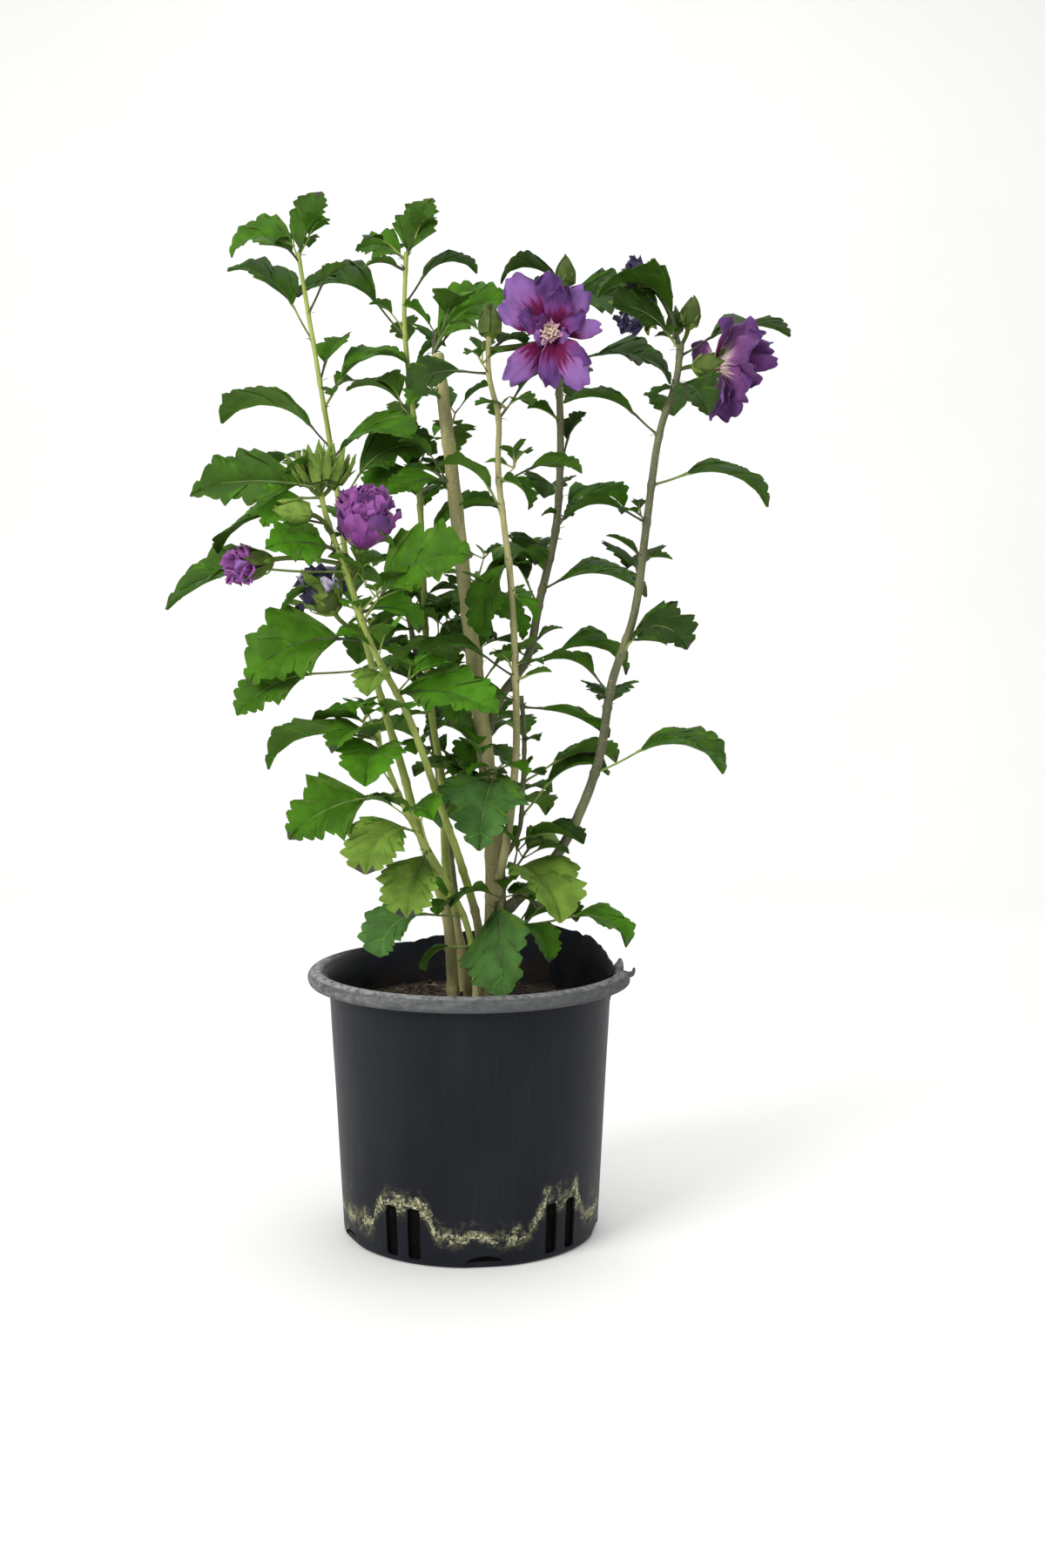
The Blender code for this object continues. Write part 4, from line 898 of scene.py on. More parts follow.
def leaf_blade(form, bite, seed, teeth=LEAF_TEETH, steps=FINE_STEPS):
    """A flat blade of unit length along +Y with its veins, as a mesh to be bent later."""
    rows = leaf_rows(form, bite, random.Random(seed), teeth)
    shape = bmesh.new()
    bmesh.ops.create_grid(shape, x_segments=len(steps) - 1, y_segments=len(rows) - 1, size=1.0)
    kinds = {}
    for vert in shape.verts:
        column = round((vert.co.x + 1) / 2 * (len(steps) - 1))
        row = round((vert.co.y + 1) / 2 * (len(rows) - 1))
        forward, wide, root, kind = rows[row]
        t = abs(steps[column])
        x = steps[column] * wide
        y = root + (forward - root) * (t ** 1.15 if t else 0)
        quilt = 0.010 * math.sin(math.pi * min(1.0, t * 1.1)) * (kind == 0)
        vert.co = (x, y, quilt - 0.010 * (t < 0.03) - 0.004 * (kind > 0))
        kinds[vert] = (column, kind)
    for face in shape.faces:
        columns = {kinds[v][0] for v in face.verts}
        along_vein = {kinds[v][1] for v in face.verts} == {1, 2}
        midrib = len(steps) > 5 and columns <= {3, 4, 5}
        near = all(abs(steps[column]) < 0.8 for column in columns)
        face.material_index = VEIN if midrib or (along_vein and near) else BLADE
    bmesh.ops.recalc_face_normals(shape, faces=shape.faces)
    if sum(f.normal.z for f in shape.faces) < 0:
        bmesh.ops.reverse_faces(shape, faces=shape.faces)
    is_below = thicken(shape, LEAF_THICK)
    for face in shape.faces:
        if face.material_index == BLADE and is_below(face):
            face.material_index = UNDER
    mesh = bpy.data.meshes.new("blade")
    shape.to_mesh(mesh)
    shape.free()
    return mesh


def bent_way(ahead, up, swing, turn, roll):
    """Where a way bent down has got to, and its sideways and upward ways rolled by an angle."""
    side = ahead.cross(up)
    gone = ahead * (math.sin(turn) / swing) - up * ((1 - math.cos(turn)) / swing)
    forward = ahead * math.cos(turn) - up * math.sin(turn)
    above = up * math.cos(turn) + ahead * math.sin(turn)
    return (gone, side * math.cos(roll) + forward.cross(side) * math.sin(roll),
            above * math.cos(roll) + forward.cross(above) * math.sin(roll))


def leaf_path(start, spec, distance):
    """Middle of a leaf at a distance in millimetres, with its sideways and upward ways."""
    azimuth, stalk, blade, rise, bend, roll = spec
    ahead = heading(azimuth, rise)
    swing = math.radians(bend) / blade
    rolled = math.radians(roll) * (min(1.0, distance / stalk) if stalk else 1.0)
    gone, side, above = bent_way(ahead, heading(azimuth, rise + 90), swing,
                                 swing * max(0.0, distance - stalk), rolled)
    return start + (ahead * min(distance, stalk) + gone) * MM, side, above


def seated_leaf(name, start, azimuth, stalk, blade, rise, bend, roll=0):
    """A leaf's row, turned as its solid was to find room, or None where it found none."""
    best, nearest = None, SEATED * MM
    for turn, lower in TRY_TURNS:
        spec = (azimuth + turn, stalk, blade * (1 - 0.004 * abs(turn)), rise + lower, bend, roll)
        off = 0.0
        for share in (0.12, 0.40, 0.64, 0.86, 1.0):
            spot = leaf_path(start, spec, stalk + share * spec[2])[0]
            off = max(off, solids[name].find_nearest(spot)[3])
        if off < nearest:
            best, nearest = spec, off
    return best


def bent_leaf(start, spec, blade_mesh, tint, rng):
    """One blade bent, folded and rolled as its row says, with its own waves and droop."""
    _, stalk, blade, _, _, roll = spec
    shape = bmesh.new()
    shape.from_mesh(blade_mesh)
    open_out = rng.uniform(0.7, 1.2)
    fold = math.tan(math.radians(max(13.0, LEAF_FOLD * open_out - 0.28 * abs(roll))))
    phase = [rng.uniform(0, 6.28) for _ in range(3)]
    wave = rng.uniform(0.020, 0.055)
    droop = rng.uniform(0.0, 0.6)
    twist = rng.uniform(-0.11, 0.11)
    curl = rng.choice((0.0, 0.04, 0.08, 0.15))
    dry_from = rng.choice((0.93, 0.96, 2.0, 2.0, 2.0, 2.0))
    for face in shape.faces:
        if face.calc_center_median().y > dry_from:
            face.material_index = DRY
    for vert in shape.verts:
        x, y, z = vert.co
        out = abs(x) / LEAF_HALF
        centre, side, above = leaf_path(start, spec, stalk + y * blade)
        lift = fold * abs(x) * (1.14 - 0.34 * out) - droop * 0.22 * max(0.0, out - 0.55) ** 2
        sway = math.sin((9.0 if x > 0 else 10.5) * y + phase[int(x > 0)])
        lift += wave * out * sway - curl * max(0.0, y - 0.6) ** 2 * 4
        lift += x * math.sin(twist * y * 3 + 0.4 * twist)
        lift += 0.009 * math.sin(31 * y + 17 * out + phase[2]) * out
        vert.co = centre + (side * x + above * (lift + z)) * blade * MM
    for face in shape.faces:
        if face.material_index == BLADE:
            face.material_index = tint
        elif face.material_index == VEIN:
            face.material_index = tint + 1 if tint < 4 else VEIN_PALE
        elif face.material_index == UNDER:
            face.material_index = BELOW if tint > 1 else tint + 1
    return shape


def leaf_stalk(start, spec, thick=1.0):
    """A leaf's stalk, swollen at both ends, that runs out along the back of the midrib."""
    _, stalk, blade, _, _, _ = spec
    count = max(5, round((stalk + 0.7 * blade) / 3.2))
    spots, widths = [], []
    for k in range(count + 1):
        distance = (stalk + 0.7 * blade) * k / count
        centre, _, above = leaf_path(start, spec, distance)
        beyond = max(0.0, distance - stalk)
        sag = 0.02 * stalk * math.sin(math.pi * min(1.0, distance / max(stalk, 1.0)))
        spots.append(centre - above * (sag + (0.011 * blade if beyond else 0.0)) * MM)
        ends = math.exp(-(distance / 3.0) ** 2) + 0.7 * math.exp(-((distance - stalk) / 2.5) ** 2)
        taper = 1 - 0.75 * beyond / (0.7 * blade)
        widths.append(STALK_HALF * thick * (0.82 + 0.55 * ends) * taper * MM)
    return limb(spots, widths, STALK_SIDES)


def sheet(start, ahead, up, length, half, bend, roll, outline, shape_of):
    """A petal, sepal or strap: a thin grid shaped by its outline and bent along its way.

    `shape_of` = (columns, rows, cup, ruffle, thickness, seed); its map runs across and
    along it, both from 0 to 1, and its under side has the second material.
    """
    columns, rows, cup, ruffle, thick, seed = shape_of
    notch = 0.07 if outline(1.0) > 0.5 else 0.0
    rng = random.Random(seed)
    phase = [rng.uniform(0, 6.28) for _ in range(4)]
    side = ahead.cross(up).normalized()
    up = side.cross(ahead).normalized()
    swing = math.radians(bend if abs(bend) > 0.5 else 0.5) / length
    shape = bmesh.new()
    shape.loops.layers.uv.new("sheet_map")
    bmesh.ops.create_grid(shape, x_segments=columns, y_segments=rows, size=0.5, calc_uvs=True)
    bmesh.ops.recalc_face_normals(shape, faces=shape.faces)
    if shape.faces[:][0].normal.z < 0:
        bmesh.ops.reverse_faces(shape, faces=shape.faces)
    for vert in shape.verts:
        u = vert.co.x * 2
        v = vert.co.y + 0.5
        wide = half * outline(v)
        reach = v * (1 - 0.17 * abs(u) ** 2.4 * ease(0.3, 1.0, v)
                     - notch * math.exp(-9 * u * u) * v ** 8)
        reach += 0.020 * ruffle * math.sin(6 * u + phase[0]) * v * v
        gone, across, above = bent_way(ahead, up, swing, swing * reach * length,
                                       math.radians(roll))
        edge = abs(u) ** 1.5 * v ** 1.5 + 0.5 * v ** 5
        lift = cup * half * u * u * v
        lift += ruffle * half * edge * (0.22 * math.sin(9 * v + 3 * u + phase[1])
                                        + 0.14 * math.sin(15 * v - 5 * u + phase[2]))
        lift += 0.035 * ruffle * half * math.sin(10 * u + phase[3]) * (1 - 0.5 * v)
        vert.co = start + (gone + across * u * wide + above * lift) * MM
    is_below = thicken(shape, thick * MM)
    for face in shape.faces:
        face.material_index = int(is_below(face))
    return shape


def strap_outline(v):
    """Half width of a narrow pointed strap."""
    return (0.55 + 0.45 * ease(0, 0.3, v)) * (1 - v ** 3) + 0.06


# upper leaves are lobed and end in a point, and old ones low down are blunt and rounded
UPPER_BLADES = [leaf_blade(form, bite, seed) for form, bite, seed in
                (((0.46, 1.5, 1.2, 0.39), 0.115, 1), ((0.51, 1.9, 1.0, 0.40), 0.110, 2),
                 ((0.43, 1.35, 1.6, 0.42), 0.125, 3), ((0.55, 2.1, 0.8, 0.38), 0.105, 4),
                 ((0.48, 1.6, 1.4, 0.37), 0.120, 8))]
LOWER_BLADES = [leaf_blade(form, bite, seed) for form, bite, seed in
                (((0.53, 2.3, 1.0, 0.40), 0.095, 5), ((0.57, 2.7, 0.7, 0.37), 0.090, 6),
                 ((0.49, 1.9, 1.3, 0.39), 0.105, 7))]
YOUNG_BLADES = [leaf_blade((0.52, 2.0, 0.6, 0.38), 0.17, seed, 3, (-1.0, -0.5, 0.0, 0.5, 1.0))
                for seed in (9, 10)]
# greens of the blades, from the darkest to the brightest, dealt out as painted shade and painted
# light, then yellow old ones and grey-green low ones whose grey is a painted sheen
GREENS = ((0.029, 0.064, 0.011), (0.044, 0.109, 0.010), (0.057, 0.163, 0.009),
          (0.070, 0.218, 0.010), (0.095, 0.278, 0.020), (0.155, 0.265, 0.038),
          (0.070, 0.170, 0.038))
# the grey-green tint stands for a painted sheen of gloss on low leaves
YELLOWED, SHEEN_GREEN, VEIN_PALE, BELOW, DRY = 5, 6, 7, 8, 9
leaf_mats = [finish("leaf_green_%d" % (index + 1), colour, [0.66 * part for part in colour],
                    75.0, (0.50, 0.62), 0.0003, specular=0.07)
             for index, colour in enumerate(GREENS)]
leaf_mats += [
    finish("leaf_vein", (0.112, 0.270, 0.036), (0.085, 0.215, 0.026), 90.0, (0.50, 0.60),
           0.0002, specular=0.12),
    finish("leaf_underside", (0.082, 0.172, 0.022), (0.056, 0.125, 0.016), 75.0, (0.60, 0.75),
           0.0004, specular=0.07),
    finish("dry_leaf", (0.050, 0.045, 0.030), (0.020, 0.018, 0.016), 120.0, (0.7, 0.85), 0.0005),
]
stalk_green = finish("stalk_green", (0.21, 0.29, 0.085), (0.12, 0.17, 0.05), 120.0,
                     (0.45, 0.60), 0.0002, 2.0, 0.2)
stalk_dark = finish("stalk_dark", (0.082, 0.118, 0.048), (0.050, 0.055, 0.034), 120.0,
                    (0.50, 0.65), 0.0002, 2.0, 0.2)

solids = {}
for name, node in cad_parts.items():
    corners = [v.co for v in node.data.vertices]
    solids[name] = BVHTree.FromPolygons(corners, [p.vertices[:] for p in node.data.polygons])

lines["shoot_centre_thin"] = route(THIN_STEM)
stem_widths["shoot_centre_thin"] = (THIN_STEM[0][2], lambda share: 1.4 - 0.4 * share)
for name, height, azimuth, rise, length, radius in SPRIGS:
    foot = point_at(trunk_line, height * MM)[0]
    reach = heading(azimuth, rise) * (trunk_radius(height) + length) * MM
    lines[name] = [foot + reach * k / SPRIG_STEPS for k in range(SPRIG_STEPS + 1)]


def round_leaves(name, count, blade, stalk):
    """Leaf table of a shoot whose leaves follow the golden angle round the stem."""
    rng = random.Random(name)
    low = stem_widths[name][0] + 0.3
    high = lines[name][-1].z / MM
    table = []
    for k in range(count):
        share = (k + 0.4) / count
        table.append((high - (high - low) * share, 40 + GOLDEN_ANGLE * k,
                      stalk * rng.uniform(0.7, 1.2), blade * rng.uniform(0.75, 1.1),
                      rng.uniform(30, 60), rng.uniform(60, 95), rng.uniform(-15, 15)))
    return table


tables = dict(LEAVES)
for name, count, blade, stalk in ROUND_SHOOTS:
    tables[name] = round_leaves(name, count, blade, stalk)

# how many axils grow young leaves on a shoot, and the length of those blades
AXILS = {"left": (0.45, 10, 22), "left_front": (0.75, 14, 32), "front_low": (0.9, 16, 34),
         "mid_left": (0.8, 14, 30), "trunk": (0.9, 16, 34), "centre": (0.5, 10, 22),
         "back_left": (0.8, 14, 30), "back_right": (0.8, 14, 30)}
# how brightly the leaves of a shoot are painted, from 0 to 1: painted light on the left and front,
# painted shade on the right and at the back
PAINTED_LIGHT_SHARE = {"left": 0.60, "left_front": 0.58, "front_low": 0.62, "mid_left": 0.58,
              "centre": 0.55, "centre_thin": 0.38, "right_centre": 0.16, "right": 0.02,
              "trunk": 0.60, "back_left": 0.42, "back_right": 0.32}
# leaves of a colour of their own, by the shoot and height they stand at: yellowed with age, dark
# green, or grey-green as a painted sheen
AGED_AND_SHEEN_TINTS = {("shoot_front_low", 264): YELLOWED, ("shoot_front_low", 252): YELLOWED,
        ("shoot_front_low", 306): YELLOWED, ("sprig_low_right", 236): YELLOWED,
        ("sprig_low_front", 294): SHEEN_GREEN, ("sprig_foot_front", 214): SHEEN_GREEN,
        ("shoot_front_low", 209): SHEEN_GREEN, ("shoot_left_front", 362): YELLOWED,
        ("shoot_right", 298): 1}


def green_with_painted_shade(spot, title, rng):
    """Which green a leaf has: painted shade makes it darker high up, on the right and at the back,
    and chance spreads it a little.
    """
    # painted light and shade by shoot and height, with a random spread
    lit_share = PAINTED_LIGHT_SHARE[title] - 0.26 * ease(0.38, 0.60, spot.z) + rng.uniform(-0.20, 0.20)
    return max(0, min(4, int(5 * lit_share)))


def axil_growth(spot, spec, title, stalks, leaves, rng):
    """Straps beside a stalk's foot and, in some axils, a pair of young folded leaves."""
    azimuth = spec[0]
    for sign in (-1, 1):
        ahead = heading(azimuth + sign * rng.uniform(30, 70), rng.uniform(20, 70))
        up = heading(azimuth, 85)
        strap = sheet(spot + heading(azimuth + sign * 60, 0) * 1.2 * MM, ahead, up,
                      rng.uniform(4, 8), 0.45, rng.uniform(40, 120), 0, strap_outline,
                      (1, 5, 0.3, 0.4, 0.25, rng.random()))
        pour(strap, leaves, rng.choice((1, 3, DRY)))
    share, least, most = AXILS.get(title, (0.35, 8, 16))
    if rng.random() > share or spec[2] < 30:
        return
    way = heading(azimuth + rng.uniform(-25, 25), rng.uniform(40, 75))
    tip = spot + way * rng.uniform(0.3, 0.6) * most * MM
    stub = limb([spot, spot.lerp(tip, 0.5), tip], [0.85 * MM, 0.7 * MM, 0.5 * MM], STALK_SIDES)
    pour(stub, stalks)
    for turn in (-75, 60, 170)[:rng.choice((2, 2, 3))]:
        size = rng.uniform(least, most)
        young = (azimuth + turn + rng.uniform(-20, 20), rng.uniform(0.15, 0.45) * size, size,
                 rng.uniform(15, 60), rng.uniform(30, 90), rng.uniform(-20, 20))
        tint = min(4, green_with_painted_shade(tip, title, rng) + rng.choice((0, 0, 1)))
        pour(bent_leaf(tip, young, rng.choice(YOUNG_BLADES), tint, rng), leaves)
        pour(leaf_stalk(tip, young, 0.55), stalks)


def grow(names, title):
    """Grow the leafy shoots of one group: a piece of stems and stalks and one of blades."""
    stalks = bmesh.new()
    leaves = bmesh.new()
    for name in names:
        line = lines[name]
        rng = random.Random(name + " growth")
        if name in stem_widths:
            low, radius = stem_widths[name]
            nodes = [row[0] for row in tables.get(name, ())]
            stem = stem_limb(line, low + 0.15, line[-1].z / MM, radius, nodes, SHOOT_SIDES)
            bark_relief(stem, 0.00012, 400, 6)
        else:
            radius = next(row[5] for row in SPRIGS if row[0] == name)
            widths = [radius * (1 - 0.3 * k / SPRIG_STEPS + 0.5 * math.exp(-k)) * MM
                      for k in range(SPRIG_STEPS + 1)]
            stem = limb(line, widths, 10)
        pour(stem, stalks)
        for row in tables.get(name, ()):
            rises = line[-1].z > line[0].z
            spot = point_at(line, row[0] * MM)[0] if rises else line[-1]
            spec = seated_leaf(name, spot, *row[1:])
            if spec is None:
                continue
            tint = green_with_painted_shade(spot, title, rng)
            if spec[2] < 30 and rng.random() < 0.3:
                tint = YELLOWED
            # painted sheen: some low leaves take the grey-green tint
            if spot.z < 0.30 and rng.random() < 0.35:
                tint = SHEEN_GREEN
            tint = AGED_AND_SHEEN_TINTS.get((name, row[0]), tint)
            low_down = spot.z + 0.06 * rng.random() < 0.32
            blade_mesh = rng.choice(LOWER_BLADES if low_down else UPPER_BLADES)
            pour(bent_leaf(spot, spec, blade_mesh, tint, rng), leaves)
            shade = 1 + (rng.random() < 0.35 + 0.5 * ease(0.40, 0.55, spot.z))
            pour(leaf_stalk(spot, spec), stalks, shade)
            axil_growth(spot, spec, title, stalks, leaves, rng)
    bark_mat = BARKS.get(title, olive_bark)
    piece("stalks_" + title, stalks, [bark_mat, stalk_green, stalk_dark], "green_bark")
    piece("leaves_" + title, leaves, leaf_mats, "hibiscus_leaf", *names)


for stem in STEMS:
    grow(["shoot_" + stem[0]], stem[0])
grow(["shoot_centre_thin"], "centre_thin")
grow([row[0] for row in SPRIGS], "trunk")

# ==== buds and flowers =============================================================
# Double lilac flowers with a crimson throat: one open to the front, one seen from its
# side, one still a ruffled ball, one just opening and three withered, among green buds.
# Each sits in a calyx of five pointed sepals, with a ring of narrow bracts below it.

# a flower's row: height of its stalk's foot, direction, rise and length of the stalk,
# direction and rise of the way it faces, its kind and its size
BLOOMS = {
    "shoot_left_front": (
        (468, 178, 42, 9, 165, 66, "spiky", 20), (468, 245, 60, 8, 235, 74, "spiky", 19),
        (468, 20, 48, 9, 20, 68, "spiky", 20), (470, 120, 65, 8, 110, 76, "spiky", 21),
        (470, 310, 70, 7, 320, 80, "spiky", 19),
        (446, 232, 32, 20, 206, 8, "pale", 23), (428, 202, 3, 43, 195, -12, "opening", 34),
        (418, 25, 66, 17, 330, 80, "pompon", 18), (384, 175, 35, 25, 150, 54, "withered", 18),
    ),
    "shoot_centre": (
        (563, 60, 72, 5, 70, 82, "bud", 22), (561, 23, 13, 46, 262, 0, "open", 36),
    ),
    "shoot_right_centre": ((604, 60, 70, 3, 80, 85, "bud", 21),),
    "shoot_right": (
        (562, 40, 60, 13, 30, 80, "bud", 21), (561, 100, 45, 14, 110, 75, "bud", 16),
        (560, 150, 62, 42, 190, -55, "withered", 15),
        (559, 140, 64, 44, 165, 46, "withered", 11), (548, 350, 12, 9, 348, -2, "double", 37),
    ),
}
OPEN_CALYX = 16.0
SHUT_CALYX = 12.0
SEPALS = 5
HEART_SIZE = 11
PETALOIDS = 26            # petal-like stamens in the middle of a flower
ANTHERS = 60
# the violet petal is the lilac petal in painted shade, for petals that lie in shade
LILAC, LILAC_IN_SHADE, MAGENTA, FADED, SLATE, BACK = range(6)
# petals of the open flower: direction round it from its right, lean from its axis, bend,
# length, half width, ruffle, colour and roll
OPEN_PETALS = (
    (127, 56, 26, 45, 11.0, 0.9, LILAC, -14), (151, 60, 22, 38, 8.5, 1.0, LILAC, 10),
    (148, 34, 55, 25, 7.5, 1.4, LILAC_IN_SHADE, 25), (86, 46, 12, 42, 10.5, 1.3, LILAC_IN_SHADE, -18),
    (70, 38, 20, 36, 8.0, 1.6, LILAC_IN_SHADE, 20), (48, 52, 30, 37, 9.5, 1.0, LILAC, 10),
    (27, 40, 46, 27, 7.5, 1.3, LILAC_IN_SHADE, -15), (3, 60, 14, 35, 6.0, 0.6, LILAC, 25),
    (-58, 52, 34, 46, 9.5, 0.9, LILAC, 8), (-44, 46, 40, 36, 7.0, 1.1, LILAC_IN_SHADE, 20),
    (-88, 46, 44, 38, 7.5, 1.3, LILAC_IN_SHADE, -25), (-131, 58, 30, 43, 9.0, 0.8, LILAC, -10),
    (120, 22, 20, 18, 6.0, 1.6, LILAC_IN_SHADE, 20), (205, 24, 35, 15, 5.0, 1.6, LILAC, -20),
    (-20, 24, 45, 16, 5.5, 1.6, LILAC, 20),
)
# the same for the flower seen from its side
DOUBLE_PETALS = (
    (108, 66, 6, 33, 10.5, 0.8, LILAC_IN_SHADE, -10), (92, 44, 12, 38, 12.0, 1.0, LILAC_IN_SHADE, 50),
    (68, 36, 5, 38, 11.5, 1.1, LILAC_IN_SHADE, 30), (145, 34, 6, 38, 11.5, 1.0, LILAC_IN_SHADE, 0),
    (132, 18, 0, 40, 10.0, 1.3, LILAC_IN_SHADE, 25), (20, 28, 10, 36, 10.0, 1.1, LILAC_IN_SHADE, 0),
    (176, 16, 8, 45, 5.5, 0.6, LILAC, 30), (200, 30, 18, 42, 8.5, 0.9, LILAC_IN_SHADE, 15),
    (222, 38, 26, 40, 10.0, 0.9, LILAC_IN_SHADE, -20), (240, 44, 50, 32, 7.0, 0.8, LILAC, -15),
    (236, 66, 30, 36, 10.0, 0.8, LILAC, -20), (256, 60, 14, 37, 11.0, 0.6, LILAC, -58),
    (278, 72, 40, 33, 8.0, 0.9, LILAC_IN_SHADE, -30),
    (330, 40, 40, 36, 10.0, 1.0, LILAC_IN_SHADE, 0), (36, 100, 60, 27, 8.0, 1.0, LILAC_IN_SHADE, 20),
)
# rings of the ruffled ball, each at its height over the calyx: count, lean, bend, length,
# half width and ruffle
POMPON_RINGS = (
    (-6, (8, 72, -76, 24, 8.0, 0.9)), (-4, (9, 70, -72, 30, 7.5, 1.2)),
    (0, (9, 66, -66, 30, 7.0, 1.6)), (4, (10, 60, -56, 28, 6.5, 2.1)),
    (9, (10, 52, -30, 24, 6.0, 2.6)), (13, (9, 42, 5, 20, 5.5, 3.0)),
    (16, (7, 28, 20, 17, 5.0, 3.0)), (18, (5, 12, 20, 15, 4.5, 3.0)),
)


def petal_outline(v):
    """Half width of a petal: a narrow claw that widens to a broad, rounded end."""
    return 0.18 + 0.84 * ease(0.0, 0.60, v) - 0.24 * ease(0.84, 1.0, v)


def sepal_outline(v):
    """Half width of a sepal, broad at its foot and drawn out to a point."""
    return 0.80 * (1 - v) ** 0.7 + 0.35 * math.sin(math.pi * v) + 0.02


def petal_finish(name, throat, flush, middle, edge, reach, veins):
    """Silky petal: streaked crimson at its foot, veined, and paler or darker at its edge."""
    darker = tuple(0.70 * part for part in middle)
    mat, tree, shader, patchy = surface(name, middle, darker, 110.0, (0.48, 0.62), 0.0003,
                                        specular=0.15)
    across, along, _ = parts_of(put(tree, "UVMap", uv_map="sheet_map").outputs[0])
    ways = (times(across, 15.0), times(along, 1.4), times(parts_of(place_in(tree))[0], 40.0))
    streak = speckle(put(tree, "CombineXYZ", enumerate(ways)).outputs[0], 1.0, 3.0, 0.6)
    colour = blend(between(along, 0.45, 1.0), patchy.outputs["Color"], edge)
    colour = blend(times(between(streak, 0.54, 0.68), veins), colour, darker)
    wandering = sum_of("MULTIPLY_ADD", streak, 0.85, along)
    colour = blend(between(wandering, reach + 0.34, reach + 0.06, 0.0, 0.55), colour, flush)
    colour = blend(between(wandering, reach + 0.14, reach), colour, throat)
    tree.links.new(colour, shader.inputs["Base Color"])
    height = sum_of("MULTIPLY_ADD", streak, 1.4, patchy.outputs["Height"])
    relief = put(tree, "Bump", {"Height": height, "Distance": 0.0005})
    tree.links.new(relief.outputs["Normal"], shader.inputs["Normal"])
    shader.inputs["Sheen Weight"].default_value = 0.06
    return mat


CRIMSON = (0.120, 0.003, 0.050)
FLUSH = (0.245, 0.036, 0.235)
petal_mats = [petal_finish(*row) for row in (
    ("lilac_petal", CRIMSON, FLUSH, (0.285, 0.138, 0.390), (0.215, 0.100, 0.340), 0.84, 0.8),
    # painted shade: the lilac petal darkened to violet
    ("violet_petal", CRIMSON, FLUSH, (0.150, 0.052, 0.225), (0.090, 0.032, 0.160), 0.80, 0.7),
    ("magenta_petal", (0.20, 0.02, 0.16), (0.17, 0.02, 0.18), (0.190, 0.036, 0.215),
     (0.275, 0.084, 0.305), 0.52, 0.8),
    ("faded_petal", (0.16, 0.10, 0.18), (0.24, 0.17, 0.29), (0.32, 0.27, 0.42),
     (0.44, 0.40, 0.54), 0.52, 0.8),
    ("slate_petal", (0.060, 0.030, 0.065), (0.06, 0.04, 0.10), (0.078, 0.066, 0.160),
     (0.035, 0.030, 0.075), 0.52, 0.8),
    ("back_of_petal", (0.56, 0.42, 0.40), (0.230, 0.090, 0.255), (0.205, 0.064, 0.225),
     (0.088, 0.028, 0.140), 0.68, 0.9),
)]
calyx_green = finish("calyx_green", (0.082, 0.124, 0.019), (0.048, 0.076, 0.012), 110.0,
                     (0.55, 0.68), 0.0004, 1.5, 0.2)
bract_green = finish("bract_green", (0.175, 0.275, 0.042), (0.105, 0.175, 0.026), 150.0,
                     (0.55, 0.65), 0.0003, specular=0.2)
cream = finish("stamen_cream", (0.75, 0.66, 0.42), (0.66, 0.48, 0.40), 260.0, (0.6, 0.75), 0.0003)
blush = finish("blush_petaloid", (0.72, 0.50, 0.62), (0.55, 0.24, 0.42), 240.0, (0.5, 0.65),
               0.0003)


def ways_round(axis):
    """Two unit vectors across an axis: level to its right, and up from it."""
    level = Vector((0, 0, 1)).cross(axis)
    right = level.normalized() if level.length > 0.15 else Vector((1, 0, 0))
    right = (right - axis * right.dot(axis)).normalized()
    return right, axis.cross(right)


def ring_sheet(centre, axis, angle, off, lean, bend, length, half, outline, shape_of, roll=12):
    """A sheet that stands in a ring round an axis and leans out from it."""
    right, above = ways_round(axis)
    a = math.radians(angle)
    out = right * math.cos(a) + above * math.sin(a)
    t = math.radians(lean)
    ahead = axis * math.cos(t) + out * math.sin(t)
    up = axis * math.sin(t) - out * math.cos(t)
    return sheet(centre + out * off * MM, ahead, up, length, half, bend, roll, outline, shape_of)


def add_bracts(green, seat, axis, length, count, lean, rng):
    """The ring of narrow bracts under a calyx."""
    for k in range(count):
        bract = ring_sheet(seat, axis, 360 * k / count + rng.uniform(-12, 12), 1.3,
                           lean + rng.uniform(-9, 9), rng.uniform(-1.0, -0.3) * lean,
                           length * rng.uniform(0.85, 1.15), rng.uniform(1.1, 1.5),
                           strap_outline, (2, 8, 0.5, 0.3, 0.4, rng.random()), 0)
        pour(bract, green)


def add_body(green, seat, axis, profile, ribs, tone=0):
    """The round body of a bud or calyx, with five soft ribs."""
    right, above = ways_round(axis)
    body = limb([seat + axis * along * MM for along, _ in profile],
                [radius * MM for _, radius in profile], 20)
    longest = profile[-1][0] * MM
    for vert in body.verts:
        along = (vert.co - seat).dot(axis)
        out = vert.co - seat - axis * along
        turn = math.atan2(out.dot(above), out.dot(right))
        share = max(0.0, math.sin(math.pi * along / longest))
        vert.co += out * ribs * math.cos(5 * turn) * share
    pour(body, green, tone)


def add_sepals(green, foot, axis, off, lean, bend, length, half, outer, rng):
    """Five pointed sepals in a ring; `outer` is the material of their outer side."""
    for k in range(SEPALS):
        sepal = ring_sheet(foot, axis, 360 / SEPALS * k + 20, off, lean + rng.uniform(-5, 5),
                           bend + rng.uniform(-9, 9), length * rng.uniform(0.9, 1.08), half,
                           sepal_outline, (6, 9, 0.45, 0.25, 0.5, rng.random()), 0)
        for face in sepal.faces:
            face.material_index = outer if face.material_index else 1 - outer
        pour(sepal, green)


